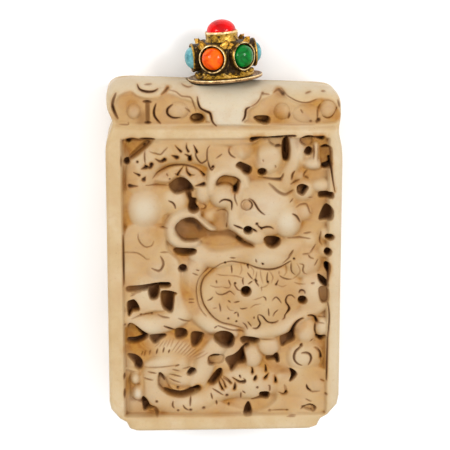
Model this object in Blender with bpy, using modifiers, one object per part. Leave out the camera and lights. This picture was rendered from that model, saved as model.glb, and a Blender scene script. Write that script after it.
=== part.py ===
"""Carved soapstone pendant with a gilt cap set with seven cabochons.

The pendant lies on its back: +Y points along it to the cap, +X to the right of the
carved face and +Z out of that face. The origin is the middle of the flat back.
"""

import math

import bmesh
import bpy
import numpy as np
from mathutils import Matrix, Vector

MM = 0.001

# Stone block
PLAQUE_WIDTH = 42.0 * MM
PLAQUE_LENGTH = 64.0 * MM
PLAQUE_THICKNESS = 14.0 * MM
EDGE_RADIUS = 0.8 * MM
TOP_EDGE_FALL = 1.6 * MM
TOP_CORNER_RADIUS = 3.2 * MM
HEADER_HEIGHT = 7.5 * MM
HEADER_ROUND_REACH = 5.0 * MM
HEADER_END_REACH = 2.2 * MM
HEADER_INSET = 0.25 * MM
HEADER_LAND = 0.6 * MM
WAIST_DEPTH_LEFT = 1.3 * MM
WAIST_DEPTH_RIGHT = 0.7 * MM
WAIST_LENGTH = 1.7 * MM
CORNER_NOTCH_LEFT = 5.8 * MM
CORNER_NOTCH_RIGHT = 6.4 * MM

# Frame round the carved window
STILE_LEFT = 2.7 * MM
STILE_RIGHT = 2.3 * MM
TOP_RAIL = 2.1 * MM
BOTTOM_RAIL = 2.8 * MM

# Levels of the carving, measured from the frame's face
HEAD_TOP = 0.1 * MM
BODY_TOP = -0.35 * MM
CLOUD_TOP = -0.75 * MM
GROUND = -1.5 * MM
RECESS_FLOOR = -2.5 * MM
PIT_FLOOR = -4.2 * MM
WALL_RUN = 0.45 * MM

# Back
BACK_GROOVE_INSET = 4.0 * MM
BACK_GROOVE_WIDTH = 1.2 * MM
BACK_GROOVE_DEPTH = 0.5 * MM

# Gilt cap, along its own axis from the underside of the flange
CAP_LEAN = math.radians(4.5)
CAP_OFFSET = 0.4 * MM
SEAT_DEPTH = 0.4 * MM
FIT_GAP = 0.3 * MM
FLANGE_RADIUS = 6.75 * MM
FLANGE_FOOT_RADIUS = 4.2 * MM
FLANGE_RISE = 0.45 * MM
FLANGE_WALL = 0.4 * MM
BASE_RADIUS = 5.3 * MM
BASE_HEIGHT = 1.3 * MM
BARREL_RADIUS = 4.6 * MM
BELT_HEIGHT = 4.5 * MM
SHOULDER_DROP = 0.6 * MM
BASE_OVERLAP = 0.4 * MM
COLLAR_RADIUS = 2.95 * MM
COLLAR_START = 7.05 * MM
COLLAR_TOP = 8.8 * MM
COLLAR_WALL = 0.2 * MM

# Cabochons and their bezels
CABOCHON_COUNT = 6
CABOCHON_FIRST_ANGLE = math.radians(-82)
CABOCHON_RADIUS = 1.95 * MM
CABOCHON_DOME = 1.45 * MM
CABOCHON_GIRDLE = 0.6 * MM
BEZEL_WALL = 0.3 * MM
BEZEL_REACH = 5.8 * MM
TOP_CABOCHON_DOME = 2.05 * MM
LEAF_RADIUS = 0.75 * MM
LEAF_TIP_RADIUS = 0.2 * MM
LEAF_HEIGHT = 2.8 * MM
LEAF_RISE = 0.6 * MM
LEAF_DISTANCE = 4.15 * MM
LEAF_SIDES = 8
CABOCHON_COLOURS = ("turquoise", "orange", "green")

# Fineness of the stone's sheet and of the turned pieces
SHEET_COLUMNS = 96
SHEET_ROWS = 144
STONE_SHARE_KEPT = 0.112
SMOOTH_ANGLE = math.radians(40)
TURN_STEPS = 32
BEZEL_STEPS = 18
COLLAR_STEPS = 28
CABOCHON_STEPS = 16

# The carving is drawn on a block of this size, about a middle that lies a little above the block's
DRAWN_WIDTH = 42.0
DRAWN_LENGTH = 64.0
DRAWN_RISE = 0.45
UNIT = PLAQUE_WIDTH / DRAWN_WIDTH


def clear_scene():
    for thing in list(bpy.data.objects):
        bpy.data.objects.remove(thing, do_unlink=True)


def new_collection(name):
    collection = bpy.data.collections.new(name)
    bpy.context.scene.collection.children.link(collection)
    return collection


def new_material(name, colour, roughness, metallic=0.0):
    material = bpy.data.materials.new(name)
    material.use_nodes = True
    shader = material.node_tree.nodes["Principled BSDF"]
    shader.inputs["Base Color"].default_value = (*colour, 1.0)
    shader.inputs["Roughness"].default_value = roughness
    shader.inputs["Metallic"].default_value = metallic
    return material


def new_object(name, mesh, collection, material=None):
    thing = bpy.data.objects.new(name, mesh)
    collection.objects.link(thing)
    if material:
        mesh.materials.append(material)
    return thing


# Smooth paths and distances to them

def smooth_path(points, closed=False, steps=5):
    """A Catmull-Rom curve through the points, as an array of x and y."""
    known = [np.array(point, float) for point in points]
    count = len(known)
    spans = count if closed else count - 1
    path = []
    for i in range(spans):
        if closed:
            a, b, c, d = (known[(i + shift) % count] for shift in (-1, 0, 1, 2))
        else:
            a, b = known[max(i - 1, 0)], known[i]
            c, d = known[i + 1], known[min(i + 2, count - 1)]
        for step in range(steps):
            t = step / steps
            path.append(0.5 * (2 * b + (c - a) * t + (2 * a - 5 * b + 4 * c - d) * t ** 2
                               + (3 * b - a - 3 * c + d) * t ** 3))
    path.append(known[0] if closed else known[-1])
    return np.array(path)


def distance_to_path(x, y, path):
    nearest = np.full(x.shape, np.inf)
    for (ax, ay), (bx, by) in zip(path[:-1], path[1:]):
        length = (bx - ax) ** 2 + (by - ay) ** 2 + 1e-12
        along = np.clip(((x - ax) * (bx - ax) + (y - ay) * (by - ay)) / length, 0, 1)
        gap = np.hypot(x - ax - along * (bx - ax), y - ay - along * (by - ay))
        nearest = np.minimum(nearest, gap)
    return nearest


def inside_path(x, y, path):
    inside = np.zeros(x.shape, bool)
    for (ax, ay), (bx, by) in zip(path[:-1], path[1:]):
        crosses = (ay > y) != (by > y)
        slope = (bx - ax) / (by - ay) if by != ay else 0.0
        inside ^= crosses & (x < ax + slope * (y - ay))
    return inside


def ease(share):
    share = np.clip(share, 0, 1)
    return share * share * (3 - 2 * share)


class Carving:
    """Heights over a sheet of points: x, y and every length are in drawing units."""

    def __init__(self, x, y, z):
        self.x = x
        self.y = y
        self.z = z

    def raised(self, points, level, shoulder=0.8):
        """A flat-topped area inside a smooth closed outline."""
        path = smooth_path(points, closed=True)
        depth = np.where(inside_path(self.x, self.y, path), 1, -1) * distance_to_path(self.x, self.y, path)
        target = level - shoulder * (1 - ease(depth / shoulder))
        self.z = np.where(depth > 0, np.maximum(self.z, target), self.z)

    def band(self, points, half_width, crest, drop=1.4):
        """A rounded strip along a smooth path."""
        share = distance_to_path(self.x, self.y, smooth_path(points)) / half_width
        top = crest - drop * (1 - np.sqrt(1 - np.clip(share, 0, 1) ** 2))
        self.z = np.where(share < 1, np.maximum(self.z, top), self.z)

    def dome(self, x, y, half_width, half_height, crest, tilt=0.0, drop=1.6):
        """An oval cushion, tilted in degrees."""
        turn = math.radians(tilt)
        across = (self.x - x) * math.cos(turn) + (self.y - y) * math.sin(turn)
        along = (self.y - y) * math.cos(turn) - (self.x - x) * math.sin(turn)
        share = np.hypot(across / half_width, along / half_height)
        top = crest - drop * (1 - np.sqrt(1 - np.clip(share, 0, 1) ** 2))
        self.z = np.where(share < 1, np.maximum(self.z, top), self.z)

    def sunk(self, points, floor):
        """A hollow with steep walls inside a smooth closed outline."""
        path = smooth_path(points, closed=True)
        wall = WALL_RUN / UNIT
        gap = distance_to_path(self.x, self.y, path)
        depth = np.where(inside_path(self.x, self.y, path), gap, -gap)
        share = ease((depth + wall / 2) / wall)
        self.z = np.where(self.z > floor, self.z + (floor - self.z) * share, self.z)

    def round_pit(self, x, y, half_width, half_height, floor):
        """A hollow of oval outline."""
        turns = [math.radians(60 * i) for i in range(6)]
        self.sunk([(x + half_width * math.cos(a), y + half_height * math.sin(a)) for a in turns], floor)

    def groove(self, points, width, depth):
        share = np.clip(distance_to_path(self.x, self.y, smooth_path(points)) / width, 0, 1)
        self.z = self.z - depth * (1 - share ** 2)


# Outline of the block

NOTCH_RISE_SHARES = (0.0, 0.10, 0.31, 0.43, 0.74, 1.0)
NOTCH_INSET_SHARES = (0.84, 0.62, 0.52, 0.31, 0.05, 0.0)


def side_distance(y, side_top, waist_depth, notch):
    """Distance of one side of the block from its middle line at heights y."""
    bottom = -PLAQUE_LENGTH / 2
    waist = side_top - HEADER_HEIGHT
    above = ease((y - waist) / (HEADER_HEIGHT / 2))
    reach = np.where(y > waist, WAIST_LENGTH, WAIST_LENGTH * 1.5)
    distance = PLAQUE_WIDTH / 2 - HEADER_INSET * above
    distance = distance - waist_depth * np.exp(-((y - waist) / reach) ** 2)
    distance = distance - notch * np.interp((y - bottom) / notch, NOTCH_RISE_SHARES, NOTCH_INSET_SHARES)
    corner = np.clip((y - (side_top - TOP_CORNER_RADIUS)) / TOP_CORNER_RADIUS, 0, 1)
    return distance - TOP_CORNER_RADIUS * (1 - np.sqrt(1 - corner ** 2))


def spread(count, crowd_low, crowd_high, reach=0.04):
    """Shares from 0 to 1 that stand closer together at the two ends."""
    fine = np.linspace(0, 1, 2001)
    density = 1 + crowd_low * np.exp(-fine / reach) + crowd_high * np.exp(-(1 - fine) / reach)
    total = np.concatenate(([0], np.cumsum((density[1:] + density[:-1]) / 2)))
    return np.interp(np.linspace(0, total[-1], count), total, fine)


def sheet_points():
    """The block's plan as rows of points that follow its outline, in metres."""
    across = spread(SHEET_COLUMNS, 1.5, 1.5)
    along = spread(SHEET_ROWS, 2.0, 4.0)
    bottom = -PLAQUE_LENGTH / 2
    top_left = PLAQUE_LENGTH / 2 + TOP_EDGE_FALL / 2
    top_right = PLAQUE_LENGTH / 2 - TOP_EDGE_FALL / 2
    y_left = bottom + along * (top_left - bottom)
    y_right = bottom + along * (top_right - bottom)
    x_left = -side_distance(y_left, top_left, WAIST_DEPTH_LEFT, CORNER_NOTCH_LEFT)
    x_right = side_distance(y_right, top_right, WAIST_DEPTH_RIGHT, CORNER_NOTCH_RIGHT)
    x = x_left[:, None] + (x_right - x_left)[:, None] * across[None, :]
    slant = (x + PLAQUE_WIDTH / 2) / PLAQUE_WIDTH
    y = bottom + along[:, None] * (top_left - bottom - TOP_EDGE_FALL * slant)
    return x, y, x - x_left[:, None], x_right[:, None] - x, y - bottom


def edge_drop(x, y, from_left, from_right, from_bottom):
    """How far the face falls back towards the block's edges, in metres."""
    top = PLAQUE_LENGTH / 2 - TOP_EDGE_FALL * x / PLAQUE_WIDTH
    from_side = np.minimum(from_left, from_right)
    from_top = top - y
    in_header = ease((y - (top - HEADER_HEIGHT)) / (HEADER_HEIGHT / 3))
    side_reach = EDGE_RADIUS + (HEADER_END_REACH - EDGE_RADIUS) * in_header
    header_drop = PLAQUE_THICKNESS / 2 - HEADER_LAND
    side = np.clip(1 - from_side / side_reach, 0, 1)
    end = np.clip(1 - from_top / HEADER_ROUND_REACH, 0, 1)
    foot = np.clip(1 - from_bottom / EDGE_RADIUS, 0, 1)
    header = header_drop * (1 - np.sqrt(1 - end ** 2))
    edge = side_reach * (1 - np.sqrt(1 - np.clip(np.hypot(side, foot), 0, 1) ** 2))
    return np.minimum(header + edge, header_drop)


# Regions of the carving, in drawing units

def carve_window(stone):
    """Sinks the field inside the frame to the ground level."""
    half = DRAWN_WIDTH / 2
    left = -half + STILE_LEFT / UNIT
    right = half - STILE_RIGHT / UNIT
    bottom = -DRAWN_LENGTH / 2 - DRAWN_RISE + BOTTOM_RAIL / UNIT
    top = DRAWN_LENGTH / 2 - DRAWN_RISE - (HEADER_HEIGHT + TOP_RAIL) / UNIT
    inset = np.minimum(np.minimum(stone.x - left, right - stone.x),
                       np.minimum(stone.y - bottom, top - stone.y))
    share = ease(inset / (WALL_RUN / UNIT))
    stone.z = stone.z + GROUND / UNIT * share


def carve_upper_body(stone):
    body, cloud = BODY_TOP / UNIT, CLOUD_TOP / UNIT
    stone.raised([(-17.8, 13.2), (-10, 13.3), (-8.8, 12), (-6.9, 11.4), (-6.6, 8.8), (-10.2, 7.6),
                  (-11, 5.8), (-17.9, 5.6)], cloud - 0.3)
    stone.raised([(-13, 14.2), (-11, 16.4), (-7.5, 17.6), (-4, 16.4), (-3, 13.2), (-5.2, 12.3),
                  (-7.8, 14.7), (-10, 13.6)], cloud)
    stone.band([(-15, 14), (-14.4, 17), (-11.8, 19.3), (-8, 20.1), (-4, 19.7), (-0.8, 18.4), (0.8, 16.8)],
               2.8, body)
    stone.raised([(-12.5, 22.2), (4.4, 22.2), (4.4, 20.6), (-5, 20.4), (-11.5, 20.8)], body - 0.1,
                 shoulder=0.5)
    stone.dome(-16.3, 15.2, 1.7, 2.3, cloud)
    stone.dome(-9.2, 10.5, 3.0, 2.9, cloud + 0.25)
    stone.dome(-14.4, 9.2, 3.4, 4.1, body + 0.35, drop=2.0)
    stone.dome(-3.7, 11.9, 1.6, 2.3, body - 0.2)
    stone.band([(-2.1, 16.4), (-2.4, 14), (-2.8, 12.4)], 0.9, body - 0.2)
    stone.dome(2.9, 19.7, 2.4, 2.0, body - 0.15)
    stone.dome(7.8, 18.0, 2.8, 3.0, body)
    stone.dome(9.7, 13.5, 2.8, 1.9, body - 0.2, tilt=-20)
    stone.band([(12.6, 21.6), (12.9, 19.5), (12.5, 17.2), (11.4, 15.2), (11.0, 13.2)], 1.6, body - 0.1)
    stone.dome(15.9, 17.1, 2.0, 1.2, body)
    stone.dome(14.0, 12.4, 2.6, 2.5, cloud + 0.1)
    stone.dome(17.3, 13.2, 2.1, 1.5, body - 0.1)
    stone.dome(13.9, 8.3, 2.2, 2.0, body - 0.2)
    for x, y, half_width, half_height in ((18.2, 4.4, 1.6, 1.6), (18.0, 1.2, 1.5, 1.6),
                                          (15.0, 3.0, 2.2, 2.2)):
        stone.dome(x, y, half_width, half_height, cloud + 0.1)


def carve_head(stone):
    top, body = HEAD_TOP / UNIT, BODY_TOP / UNIT
    stone.dome(7.2, 9.6, 5.9, 4.8, top + 0.1, tilt=-18, drop=2.0)
    stone.dome(11.2, 6.8, 2.7, 3.2, top)
    stone.dome(6.0, 6.4, 4.6, 2.6, top, tilt=-12)
    stone.band([(2.2, 12.6), (2.0, 9.4), (2.0, 7.0), (3.4, 4.9), (6.0, 4.0)], 1.7, top)
    stone.band([(-2.4, 12.2), (-2.0, 14.6), (0.2, 16.0), (2.8, 15.2), (3.9, 13.2)], 1.1, body + 0.1)
    stone.dome(-0.2, 11.4, 2.5, 2.3, top - 0.1)
    stone.dome(-2.4, 7.8, 2.0, 1.7, body - 0.4)
    stone.band([(-4.4, 0.8), (-1, 0.2), (3, 0.8), (6, 1.2), (9.5, 0.8), (12.4, 1.8)], 2.2, body + 0.1)
    stone.dome(7.8, 0.0, 4.6, 2.3, body + 0.25)
    stone.band([(-5.2, 8.3), (-8.0, 8.0), (-9.6, 6.0), (-9.3, 3.9), (-7.6, 2.8), (-5.4, 3.0)], 1.1, top)
    stone.band([(-5.3, 8.1), (-4.2, 7.1), (-3.2, 6.2), (-2.0, 5.3)], 0.8, top + 0.1)
    recess = RECESS_FLOOR / UNIT
    stone.sunk([(-1.6, 13.4), (-0.8, 14.4), (0.6, 14.9), (2.7, 14.0), (2.1, 12.6), (0.8, 13.6)], recess)
    stone.sunk([(-8.8, 5.6), (-7.6, 7.3), (-5.8, 7.5), (-4.0, 5.8), (-2.2, 4.6), (-4.6, 3.4),
                (-7.4, 3.4)], recess)
    stone.sunk([(-3.0, 4.9), (1.2, 5.1), (2.8, 3.9), (5.3, 2.4), (2.6, 2.3), (-0.8, 1.6),
                (-3.6, 2.6)], recess)
    stone.dome(-0.5, 2.6, 2.9, 1.8, CLOUD_TOP / UNIT - 0.2)


def carve_main_coil(stone):
    body = BODY_TOP / UNIT
    stone.dome(5.0, -6.9, 9.6, 6.7, body + 0.45, drop=1.8)
    stone.band([(-3.8, 0.4), (-5.7, -3), (-6.1, -6.6), (-5.0, -10), (-2.4, -12.5), (1, -13.9)],
               1.8, body - 0.1)
    stone.dome(14.2, -0.9, 3.4, 3.2, body + 0.2)
    stone.dome(16.0, -7.0, 2.9, 4.8, body + 0.1)
    stone.band([(17.2, -9), (14.6, -10.6), (12, -12.2), (9, -13.6), (5, -14)], 1.6, body)
    stone.groove([(4.5, -6.2), (8, -6.1), (12, -5.6)], 1.4, 0.45)


def carve_left_clouds(stone):
    body, cloud = BODY_TOP / UNIT, CLOUD_TOP / UNIT
    stone.raised([(-18.1, 5.6), (-10.5, 5.9), (-9.9, 2), (-7.6, -1), (-7.6, -9.6), (-12.5, -10.2),
                  (-18.1, -10)], cloud)
    stone.dome(-14.0, 3.8, 1.7, 1.8, cloud + 0.3)
    stone.dome(-12.1, -1.8, 2.7, 2.5, body + 0.1)
    stone.band([(-17, -11.2), (-14, -12.3), (-10.5, -11.9), (-7.6, -10.3), (-6.8, -7)], 2.0, body)


def carve_lower_field(stone):
    body, cloud = BODY_TOP / UNIT, CLOUD_TOP / UNIT
    stone.raised([(9.6, -21.5), (18.6, -20.8), (18.6, -29.3), (5.2, -29.3), (9, -26.8)], cloud)
    stone.raised([(-17.9, -21), (-15.2, -20.6), (-14.8, -26), (-12.4, -29.3), (5, -29.3), (0, -27)],
                 cloud - 0.1)
    stone.dome(-8.6, -17.2, 5.6, 2.8, cloud)
    stone.dome(-11.4, -19.4, 3.9, 1.5, body, tilt=12)
    stone.band([(-8.5, -19.8), (-12.4, -21), (-13.5, -24), (-11.5, -26.9), (-8, -27.7), (-4.2, -27),
                (-1, -25.2), (3, -24.2)], 2.2, body)
    stone.band([(-1.4, -16.6), (-3.2, -18.8), (-3.8, -21), (-4.8, -23.2)], 2.0, body)
    stone.dome(4.8, -23.6, 6.4, 3.4, body + 0.1)
    stone.dome(-7.9, -22.4, 3.2, 2.3, cloud, tilt=-8)
    stone.dome(8.0, -16.7, 2.3, 2.1, body + 0.1)
    stone.dome(5.2, -18.6, 1.9, 2.3, body + 0.2)
    stone.dome(14.8, -18.8, 3.6, 3.2, body + 0.1)
    stone.dome(15.0, -14.0, 2.1, 2.9, body - 0.1)
    stone.dome(17.8, -13.0, 1.4, 2.2, body)
    stone.dome(17.0, -24.2, 2.0, 1.9, cloud + 0.3)
    stone.dome(-16.3, -22.6, 0.9, 1.1, body + 0.1, drop=0.9)
    stone.dome(-15.9, -25.2, 1.0, 1.6, body + 0.2, drop=0.9)


RECESS_OUTLINES = (
    [(-17.2, 21.3), (-13.2, 21.4), (-15.0, 19.5), (-17.3, 18.1)],
    [(8.0, 21.9), (10.6, 22.0), (10.4, 20.8), (9.5, 20.3), (8.2, 20.8)],
    [(13.5, 21.8), (15.5, 22.0), (15.5, 20.6), (14.5, 20.4), (13.6, 20.9)],
    [(17.2, 20.1), (18.9, 20.1), (18.9, 16.7), (17.8, 16.5), (17.2, 17.2)],
    [(-17.5, -12.5), (-16.6, -12.0), (-14.8, -13.5), (-13.9, -14.6), (-14.6, -15.3), (-17.5, -15.8)],
    [(-2.9, -18.5), (-1.9, -18.1), (-0.7, -18.2), (0.0, -18.7), (-0.4, -19.8), (-1.6, -20.1),
     (-2.8, -19.9)],
    [(-11.9, -21.4), (-11.2, -21.8), (-10.6, -22.9), (-9.9, -24.3), (-9.0, -24.9), (-7.4, -25.0),
     (-5.3, -24.1), (-4.4, -24.6), (-5.6, -25.6), (-7.5, -26.1), (-9.0, -26.0), (-10.4, -25.5),
     (-11.5, -24.6), (-12.1, -23.5)],
    [(17.1, -5.7), (18.65, -5.7), (18.65, -8.1), (17.5, -8.2)],
    [(14.2, -28.3), (14.8, -28.1), (15.7, -27.8), (16.6, -28.2), (16.8, -28.6), (15.7, -29.0)],
)


def carve_recesses(stone):
    """Hollows that stop well above the deep pits."""
    for outline in RECESS_OUTLINES:
        stone.sunk(outline, RECESS_FLOOR / UNIT)


PIT_OUTLINES = (
    [(-9.9, 13.2), (-8.6, 14.6), (-6.6, 14.2), (-5.5, 12.6), (-7.0, 12.3), (-8.9, 12.1)],
    [(-7.6, 12.2), (-6.6, 12.4), (-5.6, 11.4), (-4.6, 10.0), (-5.2, 8.7), (-6.4, 8.9), (-6.5, 10.4)],
    [(2.1, 16.9), (2.7, 17.5), (3.6, 17.1), (4.8, 16.4), (4.5, 15.4), (3.6, 15.5), (3.0, 16.2)],
    [(10.3, 20.8), (11.2, 22.0), (11.6, 20.0), (11.5, 18.2), (11.0, 17.7), (10.4, 18.2)],
    [(14.2, 19.3), (14.9, 20.1), (15.6, 19.7), (15.4, 18.9), (14.7, 18.7)],
    [(17.0, 7.0), (17.8, 9.2), (18.6, 9.7), (19.4, 8.6), (19.2, 7.2), (18.0, 6.9)],
    [(17.0, 11.95), (18.4, 12.0), (19.3, 11.9), (19.3, 11.1), (18.2, 11.0), (17.0, 11.0)],
    [(7.1, 3.6), (7.9, 3.9), (9.9, 3.4), (9.8, 2.5), (8.7, 1.9), (7.6, 2.4)],
    [(-9.1, 1.5), (-8.2, 2.0), (-6.4, 1.9), (-5.1, 1.6), (-5.6, 0.9), (-7.0, 0.5), (-8.4, 0.7)],
    [(16.9, -3.3), (17.6, -3.6), (18.6, -4.6), (18.5, -5.5), (17.3, -4.6)],
    [(18.1, -1.2), (18.7, -0.9), (19.0, -1.6), (18.9, -2.7), (18.3, -2.2)],
    [(-17.5, -5.1), (-15.0, -4.95), (-12.0, -4.5), (-10.0, -4.5), (-10.0, -5.2), (-12.0, -5.3),
     (-15.0, -5.9), (-17.4, -6.0)],
    [(-13.6, -5.5), (-11.8, -5.2), (-12.1, -7.2), (-13.3, -7.4)],
    [(-11.3, -6.1), (-8.8, -6.4), (-9.1, -7.0), (-9.4, -9.7), (-10.3, -9.8), (-11.2, -8.7)],
    [(-17.5, -8.2), (-16.8, -7.7), (-16.1, -7.8), (-15.4, -9.4), (-16.6, -9.7), (-17.3, -10.4)],
    [(-13.6, -14.6), (-12.2, -14.3), (-10.6, -14.4), (-11.6, -15.2), (-12.7, -16.0)],
    [(-8.8, -13.3), (-7.3, -13.4), (-6.8, -13.9), (-6.9, -14.7), (-7.9, -15.1), (-8.8, -14.9)],
    [(-5.9, -14.1), (-3.9, -14.2), (-4.0, -15.0), (-4.3, -15.8), (-5.2, -16.6), (-5.9, -16.2)],
    [(-1.75, -14.2), (-0.5, -13.6), (1.0, -13.9), (1.8, -15.0), (1.6, -16.5), (0.8, -17.0), (-0.1, -16.7),
     (-1.0, -16.0), (-1.8, -15.2)],
    [(3.0, -15.2), (4.6, -14.8), (6.3, -15.3), (5.7, -16.1), (4.4, -16.1), (3.4, -16.2)],
    [(3.4, -16.9), (3.6, -17.8), (3.9, -19.7), (2.5, -20.2), (1.3, -21.3), (0.9, -20.5), (0.2, -19.3),
     (0.6, -18.8), (1.6, -18.5), (2.6, -17.8)],
    [(7.7, -18.6), (8.9, -18.6), (9.4, -18.1), (9.9, -18.6), (10.0, -19.8), (9.6, -19.9), (9.2, -19.4),
     (7.8, -19.4)],
    [(10.2, -15.1), (11.0, -14.6), (12.4, -14.1), (12.8, -15.5), (11.5, -16.3), (10.5, -16.8)],
    [(16.6, -14.7), (17.4, -14.8), (18.4, -14.8), (17.8, -15.6), (17.2, -15.5)],
    [(-17.6, -18.0), (-16.2, -18.2), (-15.2, -19.0), (-14.9, -20.0), (-15.3, -20.8), (-16.2, -20.4),
     (-16.4, -19.7), (-17.0, -19.0)],
    [(-15.0, -26.2), (-14.3, -26.5), (-13.7, -27.6), (-13.0, -28.0), (-13.9, -28.4), (-14.8, -28.7)],
    [(-3.0, -23.5), (-2.6, -22.8), (-1.2, -21.2), (-0.5, -21.1), (-0.5, -22.0), (-1.2, -23.1),
     (-2.1, -23.8)],
    [(-6.8, -21.6), (-6.2, -20.9), (-5.4, -20.8), (-5.3, -21.3), (-6.3, -22.0)],
    [(6.6, -25.4), (8.1, -25.5), (8.1, -26.7), (7.2, -26.8), (6.6, -26.3)],
    [(4.4, -27.5), (4.9, -28.6), (4.9, -29.5), (3.7, -29.6), (3.7, -28.8)],
    [(12.0, -21.1), (12.8, -21.4), (13.2, -22.0), (12.9, -22.6), (12.0, -23.3), (12.3, -22.2)],
)
ROUND_PITS = ((6.75, 15.7, 0.8, 0.75), (4.2, 5.3, 0.8, 0.7), (13.85, 12.55, 0.85, 0.95),
              (-7.5, -1.9, 0.75, 0.62), (18.85, 3.85, 0.75, 0.5), (18.6, 1.1, 0.6, 0.65),
              (3.87, -6.0, 0.85, 0.85),
              (14.15, -7.95, 0.75, 0.7), (-17.3, 17.8, 0.5, 0.5))


def carve_pits(stone):
    """The dark holes between the coils."""
    floor = PIT_FLOOR / UNIT
    for outline in PIT_OUTLINES:
        stone.sunk(outline, floor)
    for x, y, half_width, half_height in ROUND_PITS:
        stone.round_pit(x, y, half_width, half_height, floor)


HEADER_FIELD_LEFT = [(-19, 25), (-18.8, 29), (-16.5, 30), (-15, 29.2), (-12, 28.9), (-9.8, 29.8), (-7.6, 29),
                     (-5.6, 28.4), (-4.9, 27.5), (-3.6, 26.6), (-3.2, 25.2), (-4, 24.6)]
HEADER_FIELD_RIGHT = [(19.4, 24.6), (19.6, 28), (17, 28.8), (14, 28), (11.4, 28.8), (9.6, 29.8), (8, 29.2),
                      (6.6, 28.6), (5.4, 27.6), (4.3, 26.9), (4.1, 25.4), (4.6, 24.6)]
HEADER_FIELD_DEPTH = 0.9
HEADER_KNOBS = ((-16.3, 27.0, 1.5), (-8.2, 26.9, 1.8), (10.2, 26.6, 1.5), (18.3, 27.0, 1.6))
HEADER_LINE_WIDTH = 0.45
HEADER_LINE_DEPTH = 0.55
HEADER_LINES = (
    [(-19.0, 30.0), (-19.6, 27.7), (-18.7, 25.5)],
    [(20.1, 28.5), (20.4, 27.2)],
    [(-12.0, 28.1), (-12.3, 26.0), (-11.2, 24.6)],
    [(-9.1, 28.0), (-10.1, 26.5), (-8.8, 25.6), (-7.7, 25.7)],
    [(9.6, 30.2), (10.8, 29.6), (12.8, 28.4), (15.3, 28.2)],
    [(-15.3, 31.3), (-14.8, 30.5), (-12.4, 30.2), (-11.6, 30.6)],
)
HEADER_SLOT = [(-14.1, 28.5), (-13.1, 28.5), (-12.9, 24.8), (-14.0, 24.9)]
HEADER_SLOT_FLOOR = -1.4
HEADER_PITS = ((-4.8, 25.5, 1.2, 0.75), (6.7, 25.1, 1.3, 0.7))
HEADER_PIT_EXTRA = 0.6


def carve_header(stone):
    """Cloud lobes, knobs and the pale shield on the header bar."""
    line = DRAWN_LENGTH / 2 - DRAWN_RISE - HEADER_HEIGHT / UNIT
    stone.groove([(-DRAWN_WIDTH / 2, line), (DRAWN_WIDTH / 2, line)], HEADER_LINE_WIDTH, HEADER_LINE_DEPTH)
    for outline in (HEADER_FIELD_LEFT, HEADER_FIELD_RIGHT):
        stone.sunk(outline, -HEADER_FIELD_DEPTH)
    for x, y, radius in HEADER_KNOBS:
        stone.dome(x, y, radius, radius, 0.0, drop=HEADER_FIELD_DEPTH)
    for points in HEADER_LINES:
        stone.groove(points, HEADER_LINE_WIDTH, HEADER_LINE_DEPTH)
    for x, y, half_width, half_height in HEADER_PITS:
        stone.round_pit(x, y, half_width, half_height, RECESS_FLOOR / UNIT - HEADER_PIT_EXTRA)
    stone.sunk(HEADER_SLOT, HEADER_SLOT_FLOOR)


def carved_face(x, y):
    """Relief of the front face over plan points in metres, as heights from the frame's face."""
    drawn_x = x / PLAQUE_WIDTH * DRAWN_WIDTH
    drawn_y = y / PLAQUE_LENGTH * DRAWN_LENGTH - DRAWN_RISE
    stone = Carving(drawn_x, drawn_y, np.zeros_like(drawn_x))
    carve_window(stone)
    carve_upper_body(stone)
    carve_main_coil(stone)
    carve_left_clouds(stone)
    carve_lower_field(stone)
    carve_head(stone)
    carve_recesses(stone)
    carve_pits(stone)
    carve_header(stone)
    return stone.z * UNIT


def grooved_back(x, y, from_left, from_right, from_bottom):
    """A shallow line round the plain back panel and one under the header."""
    header_line = PLAQUE_LENGTH / 2 - HEADER_HEIGHT
    inset = np.minimum(np.minimum(from_left, from_right), np.minimum(from_bottom, header_line - y))
    frame = np.abs(inset - BACK_GROOVE_INSET)
    bar = np.abs(y - header_line)
    share = np.clip(np.minimum(frame, bar) / (BACK_GROOVE_WIDTH / 2), 0, 1)
    return BACK_GROOVE_DEPTH * (1 - ease(share))


def add_sheet(block, x, y, z, outward):
    """Adds a grid bent over the given points; outward is 1 for the front and -1 for the back."""
    rows, columns = x.shape
    made = bmesh.ops.create_grid(block, x_segments=columns - 1, y_segments=rows - 1, size=1.0)
    block.verts.ensure_lookup_table()
    for vertex in made["verts"]:
        column = round((vertex.co.x + 1) / 2 * (columns - 1))
        row = round((vertex.co.y + 1) / 2 * (rows - 1))
        vertex.co = Vector((x[row, column], y[row, column], z[row, column]))
    faces = {face for vertex in made["verts"] for face in vertex.link_faces}
    if outward < 0:
        bmesh.ops.reverse_faces(block, faces=list(faces))


def build_stone(collection, material, seat_cutter):
    x, y, from_left, from_right, from_bottom = sheet_points()
    drop = edge_drop(x, y, from_left, from_right, from_bottom)
    front = PLAQUE_THICKNESS - drop + carved_face(x, y)
    back = drop + grooved_back(x, y, from_left, from_right, from_bottom)
    block = bmesh.new()
    add_sheet(block, x, y, front, 1)
    add_sheet(block, x, y, back, -1)
    rims = [edge for edge in block.edges if edge.is_boundary]
    bmesh.ops.bridge_loops(block, edges=rims)
    bmesh.ops.recalc_face_normals(block, faces=block.faces)
    bmesh.ops.triangulate(block, faces=block.faces)
    mesh = bpy.data.meshes.new("stone_plaque")
    block.to_mesh(mesh)
    block.free()
    shaded_smooth(mesh)
    stone = new_object("stone_plaque", mesh, collection, material)
    thin = stone.modifiers.new("Fewer facets", "DECIMATE")
    thin.ratio = STONE_SHARE_KEPT
    seat = stone.modifiers.new("Cap seat", "BOOLEAN")
    seat.operation = "DIFFERENCE"
    seat.solver = "EXACT"
    seat.object = seat_cutter
    return stone


# Cap

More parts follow.
